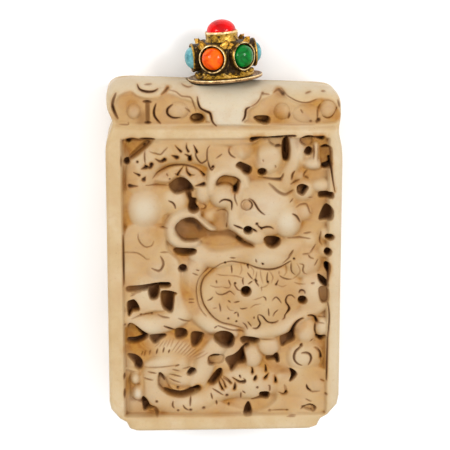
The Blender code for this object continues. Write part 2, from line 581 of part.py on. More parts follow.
def cap_matrix():
    """The cap's own axis is +Z; its -Y faces the viewer of the carved side."""
    right = Vector((math.cos(CAP_LEAN), math.sin(CAP_LEAN), 0))
    axis = Vector((-math.sin(CAP_LEAN), math.cos(CAP_LEAN), 0))
    away = axis.cross(right)
    base = Vector((CAP_OFFSET, PLAQUE_LENGTH / 2 - SEAT_DEPTH + FIT_GAP, PLAQUE_THICKNESS / 2))
    turn = Matrix((right, away, axis)).transposed().to_4x4()
    return Matrix.Translation(base) @ turn


def turned(name, profile, steps, collection, material=None):
    """Turns a profile of radius and height, listed from the top down, about +Z."""
    mesh = bpy.data.meshes.new(name)
    points = [(radius, 0, height) for radius, height in profile]
    mesh.from_pydata(points, [(i, i + 1) for i in range(len(points) - 1)], [])
    thing = new_object(name, mesh, collection, material)
    screw = thing.modifiers.new("Turn", "SCREW")
    screw.steps = steps
    screw.render_steps = steps
    screw.use_merge_vertices = True
    screw.merge_threshold = 0.00001
    return thing


def cone(name, low_radius, high_radius, depth, matrix, collection, segments=BEZEL_STEPS):
    """A closed cone about +Z, or a cylinder where both radii are equal."""
    mesh = bpy.data.meshes.new(name)
    shape = bmesh.new()
    bmesh.ops.create_cone(shape, cap_ends=True, segments=segments, radius1=low_radius, radius2=high_radius,
                          depth=depth, matrix=matrix)
    shape.to_mesh(mesh)
    shape.free()
    shaded_smooth(mesh)
    return new_object(name, mesh, collection)


def shaded_smooth(mesh):
    mesh.shade_smooth()
    mesh.set_sharp_from_angle(angle=SMOOTH_ANGLE)


def as_cutter(thing):
    thing.hide_render = True
    thing.display_type = "WIRE"
    return thing


def combine(thing, other, operation):
    modifier = thing.modifiers.new(other.name, "BOOLEAN")
    modifier.operation = operation
    modifier.solver = "EXACT"
    modifier.object = other


def flange_profile(clearance=0.0):
    """The shallow dish under the cap, or the room it needs when a clearance is given."""
    foot = FLANGE_FOOT_RADIUS + clearance
    rim = FLANGE_RADIUS + clearance
    quarter_turn = [math.radians(90 - 30 * i) for i in range(4)]
    underside = [(foot + (rim - foot) * math.sin(a),
                  FLANGE_RISE * (1 - math.cos(a)) - clearance * math.cos(a)) for a in quarter_turn]
    underside.append((0, -clearance))
    if clearance:
        return [(0, FLANGE_RADIUS), (rim, FLANGE_RADIUS)] + underside
    top = FLANGE_RISE + FLANGE_WALL
    lip = BASE_RADIUS + FIT_GAP
    return [(0, FLANGE_WALL), (lip, FLANGE_WALL), (rim - FLANGE_WALL, top), (rim, top)] + underside


def belt_matrix(index, radius):
    """Places a shape whose own axis is +Z on the belt, pointing outwards."""
    angle = CABOCHON_FIRST_ANGLE + index * 2 * math.pi / CABOCHON_COUNT
    outward = Vector((math.sin(angle), -math.cos(angle), 0))
    turn = outward.to_track_quat("Z", "Y").to_matrix().to_4x4()
    return Matrix.Translation(outward * radius + Vector((0, 0, BELT_HEIGHT))) @ turn


def build_cap(collection, cutters, metal, axis):
    start = FLANGE_WALL + FIT_GAP
    socket = CABOCHON_RADIUS + FIT_GAP
    bezel = socket + BEZEL_WALL
    belt_low = BELT_HEIGHT - bezel
    belt_high = BELT_HEIGHT + bezel
    profile = [(0, COLLAR_TOP), (COLLAR_RADIUS, COLLAR_TOP), (COLLAR_RADIUS, COLLAR_START),
               (BARREL_RADIUS, belt_high - SHOULDER_DROP), (BARREL_RADIUS, belt_low + BASE_OVERLAP),
               (BASE_RADIUS, start + BASE_HEIGHT / 2), (BASE_RADIUS, start), (0, start)]
    body = turned("cap_body", profile, TURN_STEPS, collection, metal)
    body.parent = axis

    def apply(cutter, operation):
        cutter.parent = axis
        combine(body, as_cutter(cutter), operation)

    depth = BEZEL_REACH - BARREL_RADIUS / 2
    for i in range(CABOCHON_COUNT):
        place = belt_matrix(i, BEZEL_REACH - depth / 2)
        apply(cone(f"bezel_{i + 1}", bezel, bezel, depth, place, cutters), "UNION")
    for i in range(CABOCHON_COUNT):
        angle = CABOCHON_FIRST_ANGLE + (i + 0.5) * 2 * math.pi / CABOCHON_COUNT
        spot = Vector((math.sin(angle), -math.cos(angle), 0)) * LEAF_DISTANCE
        place = Matrix.Translation(spot + Vector((0, 0, belt_high + LEAF_RISE - LEAF_HEIGHT / 2)))
        leaf = cone(f"leaf_{i + 1}", LEAF_RADIUS, LEAF_TIP_RADIUS, LEAF_HEIGHT, place, cutters, LEAF_SIDES)
        apply(leaf, "UNION")
    for i in range(CABOCHON_COUNT):
        place = belt_matrix(i, cabochon_seat() - FIT_GAP + BEZEL_REACH / 2)
        apply(cone(f"socket_{i + 1}", socket, socket, BEZEL_REACH, place, cutters), "DIFFERENCE")
    top_floor = COLLAR_TOP - CABOCHON_GIRDLE - FIT_GAP
    place = Matrix.Translation((0, 0, top_floor + BEZEL_REACH / 2))
    pocket = COLLAR_RADIUS - COLLAR_WALL
    apply(cone("socket_top", pocket, pocket, BEZEL_REACH, place, cutters, COLLAR_STEPS), "DIFFERENCE")
    return body


def cabochon_seat():
    """Distance of a side cabochon's flat back from the cap's axis."""
    return BEZEL_REACH - CABOCHON_GIRDLE - FIT_GAP


def cabochon(name, radius, dome, collection, material):
    """A low dome on a short straight girdle, its flat back at its own origin."""
    turns = [math.radians(18 * i) for i in range(1, 5)]
    profile = [(0, CABOCHON_GIRDLE + dome)]
    profile += [(radius * math.sin(a), CABOCHON_GIRDLE + dome * math.cos(a)) for a in turns]
    profile += [(radius, CABOCHON_GIRDLE), (radius, 0), (0, 0)]
    return turned(name, profile, CABOCHON_STEPS, collection, material)


def build_cabochons(collection, materials, axis):
    for i in range(CABOCHON_COUNT):
        colour = CABOCHON_COLOURS[i % len(CABOCHON_COLOURS)]
        number = i // len(CABOCHON_COLOURS) + 1
        stone = cabochon(f"cabochon_{colour}_{number}", CABOCHON_RADIUS, CABOCHON_DOME, collection,
                         materials[colour])
        stone.parent = axis
        stone.matrix_local = belt_matrix(i, cabochon_seat())
    radius = COLLAR_RADIUS - COLLAR_WALL - FIT_GAP
    top = cabochon("cabochon_top_red", radius, TOP_CABOCHON_DOME, collection, materials["red"])
    top.parent = axis
    top.matrix_local = Matrix.Translation((0, 0, COLLAR_TOP - CABOCHON_GIRDLE))


def build():
    clear_scene()
    parts = new_collection("soapstone_pendant")
    cutters = new_collection("pendant_cutters")
    stone_material = new_material("soapstone", (0.72, 0.60, 0.43), 0.45)
    metal = new_material("gilt_metal", (0.55, 0.36, 0.10), 0.35, 1.0)
    glass = {
        "red": new_material("red_cabochon", (0.75, 0.02, 0.03), 0.2),
        "orange": new_material("orange_cabochon", (0.85, 0.13, 0.01), 0.2),
        "green": new_material("green_cabochon", (0.01, 0.19, 0.05), 0.2),
        "turquoise": new_material("turquoise_cabochon", (0.16, 0.38, 0.43), 0.25),
    }
    axis = bpy.data.objects.new("cap_axis", None)
    parts.objects.link(axis)
    axis.matrix_world = cap_matrix()
    seat_cutter = turned("seat_cutter", flange_profile(FIT_GAP), TURN_STEPS, cutters)
    seat_cutter.parent = axis
    as_cutter(seat_cutter)
    build_stone(parts, stone_material, seat_cutter)
    flange = turned("cap_flange", flange_profile(), TURN_STEPS, parts, metal)
    flange.parent = axis
    build_cap(parts, cutters, metal, axis)
    build_cabochons(parts, glass, axis)
    bpy.context.view_layer.update()


build()
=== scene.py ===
import math
import random

import bmesh
import bpy
import numpy as np
from mathutils import Matrix, Vector


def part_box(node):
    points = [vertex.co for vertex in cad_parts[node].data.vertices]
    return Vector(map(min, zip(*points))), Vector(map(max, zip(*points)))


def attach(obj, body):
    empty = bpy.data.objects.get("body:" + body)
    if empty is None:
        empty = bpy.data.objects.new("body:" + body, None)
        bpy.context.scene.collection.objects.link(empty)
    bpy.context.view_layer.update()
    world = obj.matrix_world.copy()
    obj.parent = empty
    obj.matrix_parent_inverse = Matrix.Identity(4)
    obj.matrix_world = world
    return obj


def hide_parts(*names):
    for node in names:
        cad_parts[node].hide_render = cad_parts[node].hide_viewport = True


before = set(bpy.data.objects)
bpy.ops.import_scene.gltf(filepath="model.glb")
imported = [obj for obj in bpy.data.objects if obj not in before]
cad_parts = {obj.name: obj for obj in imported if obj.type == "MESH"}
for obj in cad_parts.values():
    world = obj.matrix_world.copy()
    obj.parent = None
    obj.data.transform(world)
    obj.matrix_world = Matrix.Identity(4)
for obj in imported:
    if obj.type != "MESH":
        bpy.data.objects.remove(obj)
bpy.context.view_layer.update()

MM = 0.001

# Stone block, as in the solid: its box comes from the frame
STONE_LOW, STONE_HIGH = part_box("stone_plaque")
PLAQUE_WIDTH = STONE_HIGH.x - STONE_LOW.x
TOP_EDGE_FALL = 1.6 * MM
PLAQUE_LENGTH = STONE_HIGH.y - STONE_LOW.y - TOP_EDGE_FALL / 2
PLAQUE_THICKNESS = 14.0 * MM
EDGE_RADIUS = 0.8 * MM
TOP_CORNER_RADIUS = 3.2 * MM
HEADER_HEIGHT = 7.5 * MM
HEADER_ROUND_REACH = 5.0 * MM
HEADER_END_REACH = 2.2 * MM
HEADER_INSET = 0.25 * MM
WAIST_DEPTH_LEFT = 1.3 * MM
WAIST_DEPTH_RIGHT = 0.7 * MM
WAIST_LENGTH = 1.7 * MM
CORNER_NOTCH_LEFT = 5.8 * MM
CORNER_NOTCH_RIGHT = 6.4 * MM
NOTCH_RISE_SHARES = (0.0, 0.10, 0.31, 0.43, 0.74, 1.0)
NOTCH_INSET_SHARES = (0.84, 0.62, 0.52, 0.31, 0.05, 0.0)
BACK_GROOVE_INSET = 4.0 * MM
BACK_GROOVE_WIDTH = 1.2 * MM
BACK_GROOVE_DEPTH = 0.5 * MM
FIT_GAP = 0.3 * MM

# Gilt cap, as in the solid
CAP_LEAN = math.radians(4.5)
CAP_OFFSET = 0.4 * MM
SEAT_DEPTH = 0.4 * MM
FLANGE_RADIUS = 6.75 * MM
FLANGE_FOOT_RADIUS = 4.2 * MM
FLANGE_RISE = 0.45 * MM
FLANGE_WALL = 0.4 * MM
BASE_RADIUS = 5.3 * MM
BASE_HEIGHT = 1.3 * MM
BARREL_RADIUS = 4.6 * MM
BELT_HEIGHT = 4.5 * MM
COLLAR_RADIUS = 2.95 * MM
COLLAR_START = 7.05 * MM
COLLAR_TOP = 8.8 * MM
CABOCHON_COUNT = 6
CABOCHON_FIRST_ANGLE = math.radians(-82)
CABOCHON_RADIUS = 1.95 * MM
CABOCHON_DOME = 1.45 * MM
CABOCHON_GIRDLE = 0.6 * MM
BEZEL_WALL = 0.3 * MM
BEZEL_REACH = 5.8 * MM
TOP_CABOCHON_RADIUS = 2.6 * MM
TOP_CABOCHON_DOME = 2.05 * MM
CABOCHON_COLOURS = ("turquoise", "orange", "green")

# Levels of the carving in millimetres from the frame's face
HEAD, BODY, CLOUD = 0.1, -0.35, -0.75
GROUND, RECESS, PIT = -1.5, -2.0, -3.1
BAND_DROP = 1.4
STAIN_AND_SHADE_HALO = 0.35

# The carving is drawn in millimetres on a block of this size
DRAWN_WIDTH, DRAWN_LENGTH, DRAWN_RISE = 42.0, 64.0, 0.45
DRAWN_STEP = 0.1
PATH_STEPS = 6
OVAL_POINTS = 8
WAVE_COUNT = 24
WINDOW_LEFT, WINDOW_RIGHT, WINDOW_BOTTOM, WINDOW_TOP = -18.3, 18.7, -29.65, 21.95

# Fineness of the stone's mesh
SHEET_COLUMNS = 400
SHEET_ROWS = 610
EDGE_CROWD = 1.2
EDGE_REACH = 0.04
STONE_TRIANGLES = 190000
STROKE_CARE = 0.0002
CARE_LEVELS = 10
LEAST_WEIGHT = 0.02

# The relief fades out towards the block's edges, and its colour towards the back
RELIEF_FADE = 1.2 * MM
PAINT_START, PAINT_BLEND = 0.52, 0.08

random.seed(7)
noise_source = np.random.default_rng(7)


# Small helpers

def linear(red, green, blue):
    """A screen colour of 0 to 255 as the renderer's linear colour."""
    shares = [value / 255 for value in (red, green, blue)]
    return tuple(share / 12.92 if share < 0.0404 else ((share + 0.055) / 1.055) ** 2.4
                 for share in shares) + (1.0,)


def new_object(name, data, *materials):
    thing = bpy.data.objects.new(name, data)
    bpy.context.scene.collection.objects.link(thing)
    for material in materials:
        data.materials.append(material)
    return thing


def object_from(shape, name, *materials):
    """An object with the given shape as its mesh; the shape itself is freed."""
    mesh = bpy.data.meshes.new(name)
    shape.to_mesh(mesh)
    shape.free()
    return new_object(name, mesh, *materials)


def vertex_places(mesh):
    places = np.empty(len(mesh.vertices) * 3)
    mesh.vertices.foreach_get("co", places)
    return places.reshape(-1, 3)


def smooth(mesh, angle):
    mesh.shade_smooth()
    mesh.set_sharp_from_angle(angle=math.radians(angle))


def ease(share):
    share = np.clip(share, 0, 1)
    return share * share * (3 - 2 * share)


def smooth_path(points, closed=False):
    """A Catmull-Rom curve through the points, as an array."""
    known = [np.array(point, float) for point in points]
    count = len(known)
    path = []
    for i in range(count if closed else count - 1):
        if closed:
            a, b, c, d = (known[(i + shift) % count] for shift in (-1, 0, 1, 2))
        else:
            a, b, c, d = known[max(i - 1, 0)], known[i], known[i + 1], known[min(i + 2, count - 1)]
        for step in range(PATH_STEPS):
            t = step / PATH_STEPS
            path.append(0.5 * (2 * b + (c - a) * t + (2 * a - 5 * b + 4 * c - d) * t ** 2
                               + (3 * b - a - 3 * c + d) * t ** 3))
    path.append(known[0] if closed else known[-1])
    return np.array(path)


def oval(x, y, half_width, half_height):
    turns = [2 * math.pi * i / OVAL_POINTS for i in range(OVAL_POINTS)]
    return [(x + half_width * math.cos(turn), y + half_height * math.sin(turn)) for turn in turns]


def blurred(field, reach):
    """A soft blur over the given number of raster steps."""
    size = int(reach * 2.5) + 1
    weights = np.exp(-0.5 * (np.arange(-size, size + 1) / reach) ** 2)
    weights /= weights.sum()
    padded = np.pad(field, size, mode="edge")

    def softened(line):
        return np.convolve(line, weights, "valid")

    return np.apply_along_axis(softened, 1, np.apply_along_axis(softened, 0, padded))


def waves(x, y, length):
    """A seeded, gently rolling field of height about 1 with the given wavelength."""
    total = np.zeros(np.shape(x))
    for _ in range(WAVE_COUNT):
        angle, phase = noise_source.uniform(0, 2 * math.pi, 2)
        pitch = 2 * math.pi / (length * noise_source.uniform(0.7, 1.6))
        total += np.sin(pitch * (x * math.cos(angle) + y * math.sin(angle)) + phase)
    return total * math.sqrt(2 / WAVE_COUNT)


class Carving:
    """A raster of the carved face: heights in millimetres and shares of four colours."""

    def __init__(self):
        half_width, half_length = DRAWN_WIDTH / 2 + 0.5, DRAWN_LENGTH / 2 + 1.5
        self.xs = np.arange(-half_width, half_width, DRAWN_STEP)
        self.ys = np.arange(-half_length, half_length, DRAWN_STEP) - DRAWN_RISE
        self.x, self.y = np.meshgrid(self.xs, self.ys)
        self.height = np.zeros(self.x.shape)
        self.dark = np.zeros(self.x.shape)
        self.ochre = np.zeros(self.x.shape)
        self.pale = np.zeros(self.x.shape)
        self.plum = np.zeros(self.x.shape)

    def patch(self, points, reach):
        """The slices of the raster within reach of the points, and their x and y."""
        points = np.array(points)
        low, high = points.min(0) - reach, points.max(0) + reach
        columns = slice(max(np.searchsorted(self.xs, low[0]) - 1, 0), np.searchsorted(self.xs, high[0]) + 1)
        rows = slice(max(np.searchsorted(self.ys, low[1]) - 1, 0), np.searchsorted(self.ys, high[1]) + 1)
        return (rows, columns), self.x[rows, columns], self.y[rows, columns]

    @staticmethod
    def nearest(x, y, path):
        """Distance to a path, and how far along it the nearest point is, from 0 to 1."""
        lengths = np.hypot(*(path[1:] - path[:-1]).T)
        run = np.concatenate(([0], np.cumsum(lengths)))
        best = np.full(x.shape, np.inf)
        share = np.zeros(x.shape)
        for i, ((ax, ay), (bx, by)) in enumerate(zip(path[:-1], path[1:])):
            t = np.clip(((x - ax) * (bx - ax) + (y - ay) * (by - ay)) / (lengths[i] ** 2 + 1e-12), 0, 1)
            gap = np.hypot(x - ax - t * (bx - ax), y - ay - t * (by - ay))
            closer = gap < best
            best = np.where(closer, gap, best)
            share = np.where(closer, (run[i] + t * lengths[i]) / (run[-1] + 1e-12), share)
        return best, share

    @staticmethod
    def inside(x, y, path):
        found = np.zeros(x.shape, bool)
        for (ax, ay), (bx, by) in zip(path[:-1], path[1:]):
            if ay != by:
                found ^= ((ay > y) != (by > y)) & (x < ax + (bx - ax) / (by - ay) * (y - ay))
        return found

    def depth_in(self, points, reach):
        """How deep each point of a patch lies inside a smooth closed outline; below 0 outside."""
        path = smooth_path(points, closed=True)
        where, x, y = self.patch(path, reach)
        gap, _ = self.nearest(x, y, path)
        return where, np.where(self.inside(x, y, path), gap, -gap)

    def lift(self, where, target, mask):
        old = self.height[where]
        self.height[where] = np.where(mask, np.maximum(old, target), old)

    def whiten(self, where, share):
        self.pale[where] = np.maximum(self.pale[where], share)

    def raised(self, points, level, shoulder=0.8):
        """A flat-topped area inside a smooth closed outline."""
        where, depth = self.depth_in(points, 0.2)
        self.lift(where, level - shoulder * (1 - ease(depth / shoulder)), depth > 0)

    def band(self, points, half_width, crest, pale=0.0):
        """A rounded strip along a smooth path."""
        path = smooth_path(points)
        where, x, y = self.patch(path, half_width + 0.2)
        gap, _ = self.nearest(x, y, path)
        share = gap / half_width
        self.lift(where, crest - BAND_DROP * (1 - np.sqrt(1 - np.clip(share, 0, 1) ** 2)), share < 1)
        # Paler along the crest: polish and painted highlight
        self.whiten(where, pale * ease(1.1 - share))

    def dome(self, x, y, half_width, half_height, crest, tilt=0.0, drop=1.6, pale=0.0):
        """An oval cushion, tilted in degrees."""
        turn = math.radians(tilt)
        where, px, py = self.patch([(x, y)], max(half_width, half_height) + 0.3)
        across = (px - x) * math.cos(turn) + (py - y) * math.sin(turn)
        along = (py - y) * math.cos(turn) - (px - x) * math.sin(turn)
        share = np.hypot(across / half_width, along / half_height)
        self.lift(where, crest - drop * (1 - np.sqrt(1 - np.clip(share, 0, 1) ** 2)), share < 1)
        # Paler towards the middle: polish and painted highlight
        self.whiten(where, pale * ease(1.15 - share))

    def sunk(self, points, floor, wall=0.35, dark=0.0, ochre=0.0, slope=(0.0, 0.0)):
        """A steep-walled hollow; slope tips its floor, in millimetres of height per millimetre."""
        where, depth = self.depth_in(points, wall + 1.0)
        middle = np.mean(points, axis=0)
        bed = floor + slope[0] * (self.x[where] - middle[0]) + slope[1] * (self.y[where] - middle[1])
        old = self.height[where]
        share = ease((depth + wall / 2) / wall)
        self.height[where] = np.where(old > bed, old + (bed - old) * share, old)
        # The dark floor and the ochre round the rim are stain and painted shade in the hollow
        edge = ease((depth + STAIN_AND_SHADE_HALO) / (STAIN_AND_SHADE_HALO + 0.25))
        self.dark[where] = np.maximum(self.dark[where], dark * share)
        self.ochre[where] = np.maximum(self.ochre[where], np.maximum(ochre, dark * 0.8) * edge)
        self.pale[where] *= 1 - share

    def cut(self, points, width=0.3, depth=0.28, dark=0.75, ends=0.45, closed=False):
        """A stained cut whose width falls off towards its ends."""
        path = smooth_path(points, closed)
        where, x, y = self.patch(path, width * 1.6)
        gap, along = self.nearest(x, y, path)
        fall = 1 if closed else ends + (1 - ends) * np.sqrt(np.clip(np.sin(math.pi * along), 0, 1))
        share = np.clip(gap / (width * 0.62 * fall), 0, 1)
        self.height[where] -= depth * fall * (1 - share ** 2)
        self.dark[where] = np.maximum(self.dark[where], dark * fall * (1 - share ** 2.5))
        halo = 0.55 * dark * fall * ease(1.5 - gap / (width * 0.9))
        self.ochre[where] = np.maximum(self.ochre[where], halo)

    def cuts(self, *strokes, **more):
        for stroke in strokes:
            self.cut(stroke, **more)

    def wedge(self, points, head=0.6, depth=0.5, dark=0.95):
        """A cut that widens from nothing to its last point, as a graver leaves it."""
        path = smooth_path(points)
        where, x, y = self.patch(path, head * 1.5)
        gap, along = self.nearest(x, y, path)
        reach = head / 2 * (0.15 + 0.85 * along)
        share = ease(1.25 - gap / (reach + 0.05))
        self.height[where] -= depth * share * (0.3 + 0.7 * along)
        self.dark[where] = np.maximum(self.dark[where], dark * share * (0.55 + 0.45 * along))
        self.ochre[where] = np.maximum(self.ochre[where], 0.75 * ease(1.9 - gap / (reach + 0.15)))

    def wedges(self, *strokes, **more):
        for stroke in strokes:
            self.wedge(stroke, **more)

    def spot(self, x, y, radius, depth=0.4, dark=0.8):
        where, px, py = self.patch([(x, y)], radius * 2)
        share = np.hypot(px - x, py - y) / radius
        self.height[where] -= depth * ease(1 - share)
        self.dark[where] = np.maximum(self.dark[where], dark * ease(1.35 - share))
        self.ochre[where] = np.maximum(self.ochre[where], 0.5 * dark * ease(1.8 - share))

    def wash(self, points, ochre=0.6, dark=0.0, soft=0.5):
        """Colour without shape: a soft-edged patch of ochre or brown."""
        where, depth = self.depth_in(points, soft)
        share = ease((depth + soft) / (2 * soft))
        self.ochre[where] = np.maximum(self.ochre[where], ochre * share)
        self.dark[where] = np.maximum(self.dark[where], dark * share)

    def trough(self, points, width=0.8, depth=0.25, ochre=0.45):
        """A soft hollow line between two forms, tinted ochre along it: stain and painted shade."""
        path = smooth_path(points)
        where, x, y = self.patch(path, width * 1.2)
        gap, along = self.nearest(x, y, path)
        share = ease(1 - gap / width) * np.sqrt(np.clip(np.sin(math.pi * (0.06 + 0.88 * along)), 0, 1))
        self.height[where] -= depth * share
        self.ochre[where] = np.maximum(self.ochre[where], ochre * share)

    def fan(self, start_low, start_high, end_low, end_high, count, **more):
        """Straight cuts spread evenly between two pairs of ends."""
        for i in range(count):
            share = i / (count - 1)
            low = np.array(start_low) * (1 - share) + np.array(end_low) * share
            high = np.array(start_high) * (1 - share) + np.array(end_high) * share
            self.cut([low, high], **more)


# Main forms of the carving

def carve_window(stone):
    inset = np.minimum(np.minimum(stone.x - WINDOW_LEFT, WINDOW_RIGHT - stone.x),
                       np.minimum(stone.y - WINDOW_BOTTOM, WINDOW_TOP - stone.y))
    stone.height += GROUND * ease(inset / 0.4)


def shape_upper_body(stone):
    stone.raised([(-17.9, 13.3), (-10, 13.4), (-8.8, 12), (-6.9, 11.4), (-6.6, 8.8), (-10.2, 7.6),
                  (-11, 5.8), (-18, 5.6)], CLOUD - 0.35)
    stone.raised([(-13, 14.2), (-11, 16.4), (-7.5, 17.6), (-4, 16.4), (-3, 13.2), (-5.2, 12.3),
                  (-7.8, 14.7), (-10, 13.5)], CLOUD - 0.05)
    stone.band([(-15, 14), (-14.4, 17), (-11.8, 19.3), (-8, 20.1), (-4, 19.7), (-0.8, 18.4), (0.8, 16.8)],
               2.8, BODY)
    stone.raised([(-12.5, 22.2), (4.4, 22.2), (4.4, 20.6), (-5, 20.4), (-11.5, 20.8)], BODY - 0.1, 0.5)
    stone.dome(-16.3, 15.2, 1.7, 2.3, CLOUD)
    stone.dome(-9.2, 10.5, 3, 2.9, CLOUD + 0.25)
    stone.dome(-14.3, 9.2, 3.4, 4.1, BODY + 0.35, drop=2, pale=1)
    stone.dome(-3.7, 11.9, 1.6, 2.3, BODY - 0.2, pale=0.4)
    stone.band([(-2.1, 16.4), (-2.4, 14), (-2.8, 12.4)], 0.9, BODY - 0.2)


def shape_upper_right(stone):
    stone.dome(2.9, 19.7, 2.4, 2, BODY - 0.15)
    stone.dome(7.8, 18, 2.8, 3, BODY, pale=0.2)
    stone.dome(9.7, 13.5, 2.8, 1.9, BODY - 0.2, tilt=-20)
    stone.band([(12.6, 21.6), (12.9, 19.5), (12.5, 17.2), (11.4, 15.2), (11, 13.2)], 1.6, BODY - 0.1)
    stone.dome(15.9, 17.1, 2, 1.2, BODY + 0.05, pale=0.6)
    stone.band([(16.3, 20.6), (16.2, 18.6), (16, 17.4)], 0.8, BODY - 0.35)
    stone.dome(14, 12.4, 2.6, 2.5, CLOUD + 0.15)
    stone.dome(13.2, 15, 1.7, 1.5, CLOUD + 0.05)
    stone.dome(17.3, 13.2, 2.1, 1.5, BODY - 0.1, pale=0.4)
    stone.dome(13.9, 8.3, 2.2, 2, BODY - 0.2)
    for cushion in ((18.2, 4.4, 1.6, 1.6), (18, 1.2, 1.5, 1.6), (15, 3, 2.2, 2.2)):
        stone.dome(*cushion, CLOUD + 0.15)


def shape_main_coil(stone):
    stone.dome(5, -6.9, 9.6, 6.7, BODY + 0.45, drop=1.8)
    stone.band([(-3.8, 0.4), (-5.7, -3), (-6.1, -6.6), (-5, -10), (-2.4, -12.5), (1, -13.9)], 1.8,
               BODY - 0.1)
    stone.dome(14.2, -0.9, 3.4, 3.2, BODY + 0.2)
    stone.dome(16, -7, 2.9, 4.8, BODY + 0.1, pale=0.5)
    stone.band([(17.2, -9), (14.6, -10.6), (12, -12.2), (9, -13.6), (5, -14)], 1.6, BODY, pale=0.4)


def shape_left_clouds(stone):
    stone.raised([(-18.2, 5.6), (-10.5, 5.9), (-9.9, 2), (-7.6, -1), (-7.6, -9.6), (-12.5, -10.2),
                  (-18.2, -10)], CLOUD)
    stone.dome(-14, 3.8, 1.7, 1.8, CLOUD + 0.3, pale=0.2)
    stone.dome(-12.1, -1.8, 2.7, 2.5, BODY + 0.1, pale=0.3)
    stone.band([(-17, -11.2), (-14, -12.3), (-10.5, -11.9), (-7.6, -10.3), (-6.8, -7)], 2, BODY, pale=0.2)


def shape_lower_field(stone):
    stone.raised([(9.6, -21.5), (18.8, -20.8), (18.8, -29.6), (5.2, -29.6), (9, -26.8)], CLOUD + 0.1)
    stone.raised([(-18.2, -21), (-15.2, -20.6), (-14.8, -26), (-12.4, -29.6), (5, -29.6), (0, -27)],
                 CLOUD - 0.1)
    stone.raised([(-18.2, -15.4), (-13.5, -15.5), (-9.5, -15), (-9, -18), (-15, -18), (-18.2, -17.8)],
                 CLOUD - 0.6)
    stone.dome(-8.6, -17.2, 5.6, 2.8, CLOUD)
    stone.dome(-11.4, -19.4, 3.9, 1.4, BODY + 0.05, tilt=12, pale=0.6)
    stone.band([(-8.5, -19.8), (-12.4, -21), (-13.5, -24), (-11.5, -26.9), (-8, -27.7), (-4.2, -27),
                (-1, -25.2), (3, -24.2)], 2.2, BODY)
    stone.band([(-1.4, -16.6), (-3.2, -18.8), (-3.8, -21), (-4.8, -23.2)], 2, BODY, pale=0.2)
    stone.dome(4.8, -23.6, 6.4, 3.4, BODY + 0.1)
    stone.dome(-7.9, -22.4, 3.2, 2.3, CLOUD + 0.1, tilt=-8)
    stone.dome(8, -16.7, 2.3, 2.1, BODY + 0.1, pale=0.3)
    stone.dome(5.2, -18.6, 1.9, 2.3, BODY + 0.2, pale=0.6)
    stone.dome(14.8, -18.8, 3.6, 3.2, BODY + 0.1)
    stone.dome(14.7, -18.9, 1.4, 1.4, BODY + 0.2, drop=0.5, pale=0.5)
    stone.dome(15, -14, 2.1, 2.9, BODY - 0.1)
    stone.dome(17.8, -13, 1.4, 2.2, BODY, pale=0.6)
    stone.dome(17, -24.2, 2, 1.9, CLOUD + 0.35, pale=0.3)
    stone.dome(-16.2, -22.5, 0.85, 1.1, BODY + 0.1, drop=0.9, pale=0.7)
    stone.dome(-15.8, -25.3, 0.95, 1.5, BODY + 0.2, drop=0.9, pale=1)


def shape_head(stone):
    stone.dome(7.2, 9.6, 5.9, 4.8, HEAD + 0.1, tilt=-18, drop=2, pale=0.8)
    stone.dome(11.2, 6.8, 2.7, 3.2, HEAD, pale=1)
    stone.dome(6, 6.4, 4.6, 2.6, HEAD, tilt=-12, pale=0.4)
    stone.band([(2.2, 12.6), (2, 9.4), (2, 7), (3.4, 4.9), (6, 4)], 1.7, HEAD, pale=0.3)
    stone.band([(-2.4, 12.2), (-2, 14.6), (0.2, 16), (2.8, 15.2), (3.9, 13.2)], 1.1, BODY + 0.1)
    stone.dome(-0.2, 11.4, 2.5, 2.3, HEAD - 0.1, pale=0.6)
    stone.dome(-2.4, 7.8, 2, 1.7, BODY - 0.4)
    stone.band([(-4.4, 0.8), (-1, 0.2), (3, 0.8), (6, 1.2), (9.5, 0.8), (12.4, 1.8)], 2.2, BODY + 0.1)
    stone.dome(7.8, 0, 4.6, 2.3, BODY + 0.25, pale=0.6)
    stone.band([(-5.2, 8.3), (-8, 8), (-9.6, 6), (-9.3, 3.9), (-7.6, 2.8), (-5.4, 3)], 1.1, HEAD,
               pale=0.3)
    stone.band([(-5.3, 8.1), (-4.2, 7.1), (-3.2, 6.2), (-2, 5.3)], 0.6, HEAD + 0.1, pale=0.5)


# Hollows of the carving

RECESS_OUTLINES = (
    [(-17.2, 21.3), (-13.2, 21.4), (-15, 19.5), (-17.3, 18.1)],
    [(8, 21.9), (10.6, 22), (10.4, 20.8), (9.5, 20.3), (8.2, 20.8)],
    [(13.5, 21.8), (15.5, 22), (15.5, 20.6), (14.5, 20.4), (13.6, 20.9)],
    [(17.2, 20.1), (18.9, 20.1), (18.9, 16.7), (17.8, 16.5), (17.2, 17.2)],
    [(-17.5, -12.5), (-16.6, -12), (-14.8, -13.5), (-13.9, -14.6), (-14.6, -15.3), (-17.5, -15.8)],
    [(-2.9, -18.5), (-1.9, -18.1), (-0.7, -18.2), (0, -18.7), (-0.4, -19.8), (-1.6, -20.1),
     (-2.8, -19.9)],
    [(-11.9, -21.4), (-11.2, -21.8), (-10.6, -22.9), (-9.9, -24.3), (-9, -24.9), (-7.4, -25),
     (-5.3, -24.1), (-4.4, -24.6), (-5.6, -25.6), (-7.5, -26.1), (-9, -26), (-10.4, -25.5),
     (-11.5, -24.6), (-12.1, -23.5)],
)


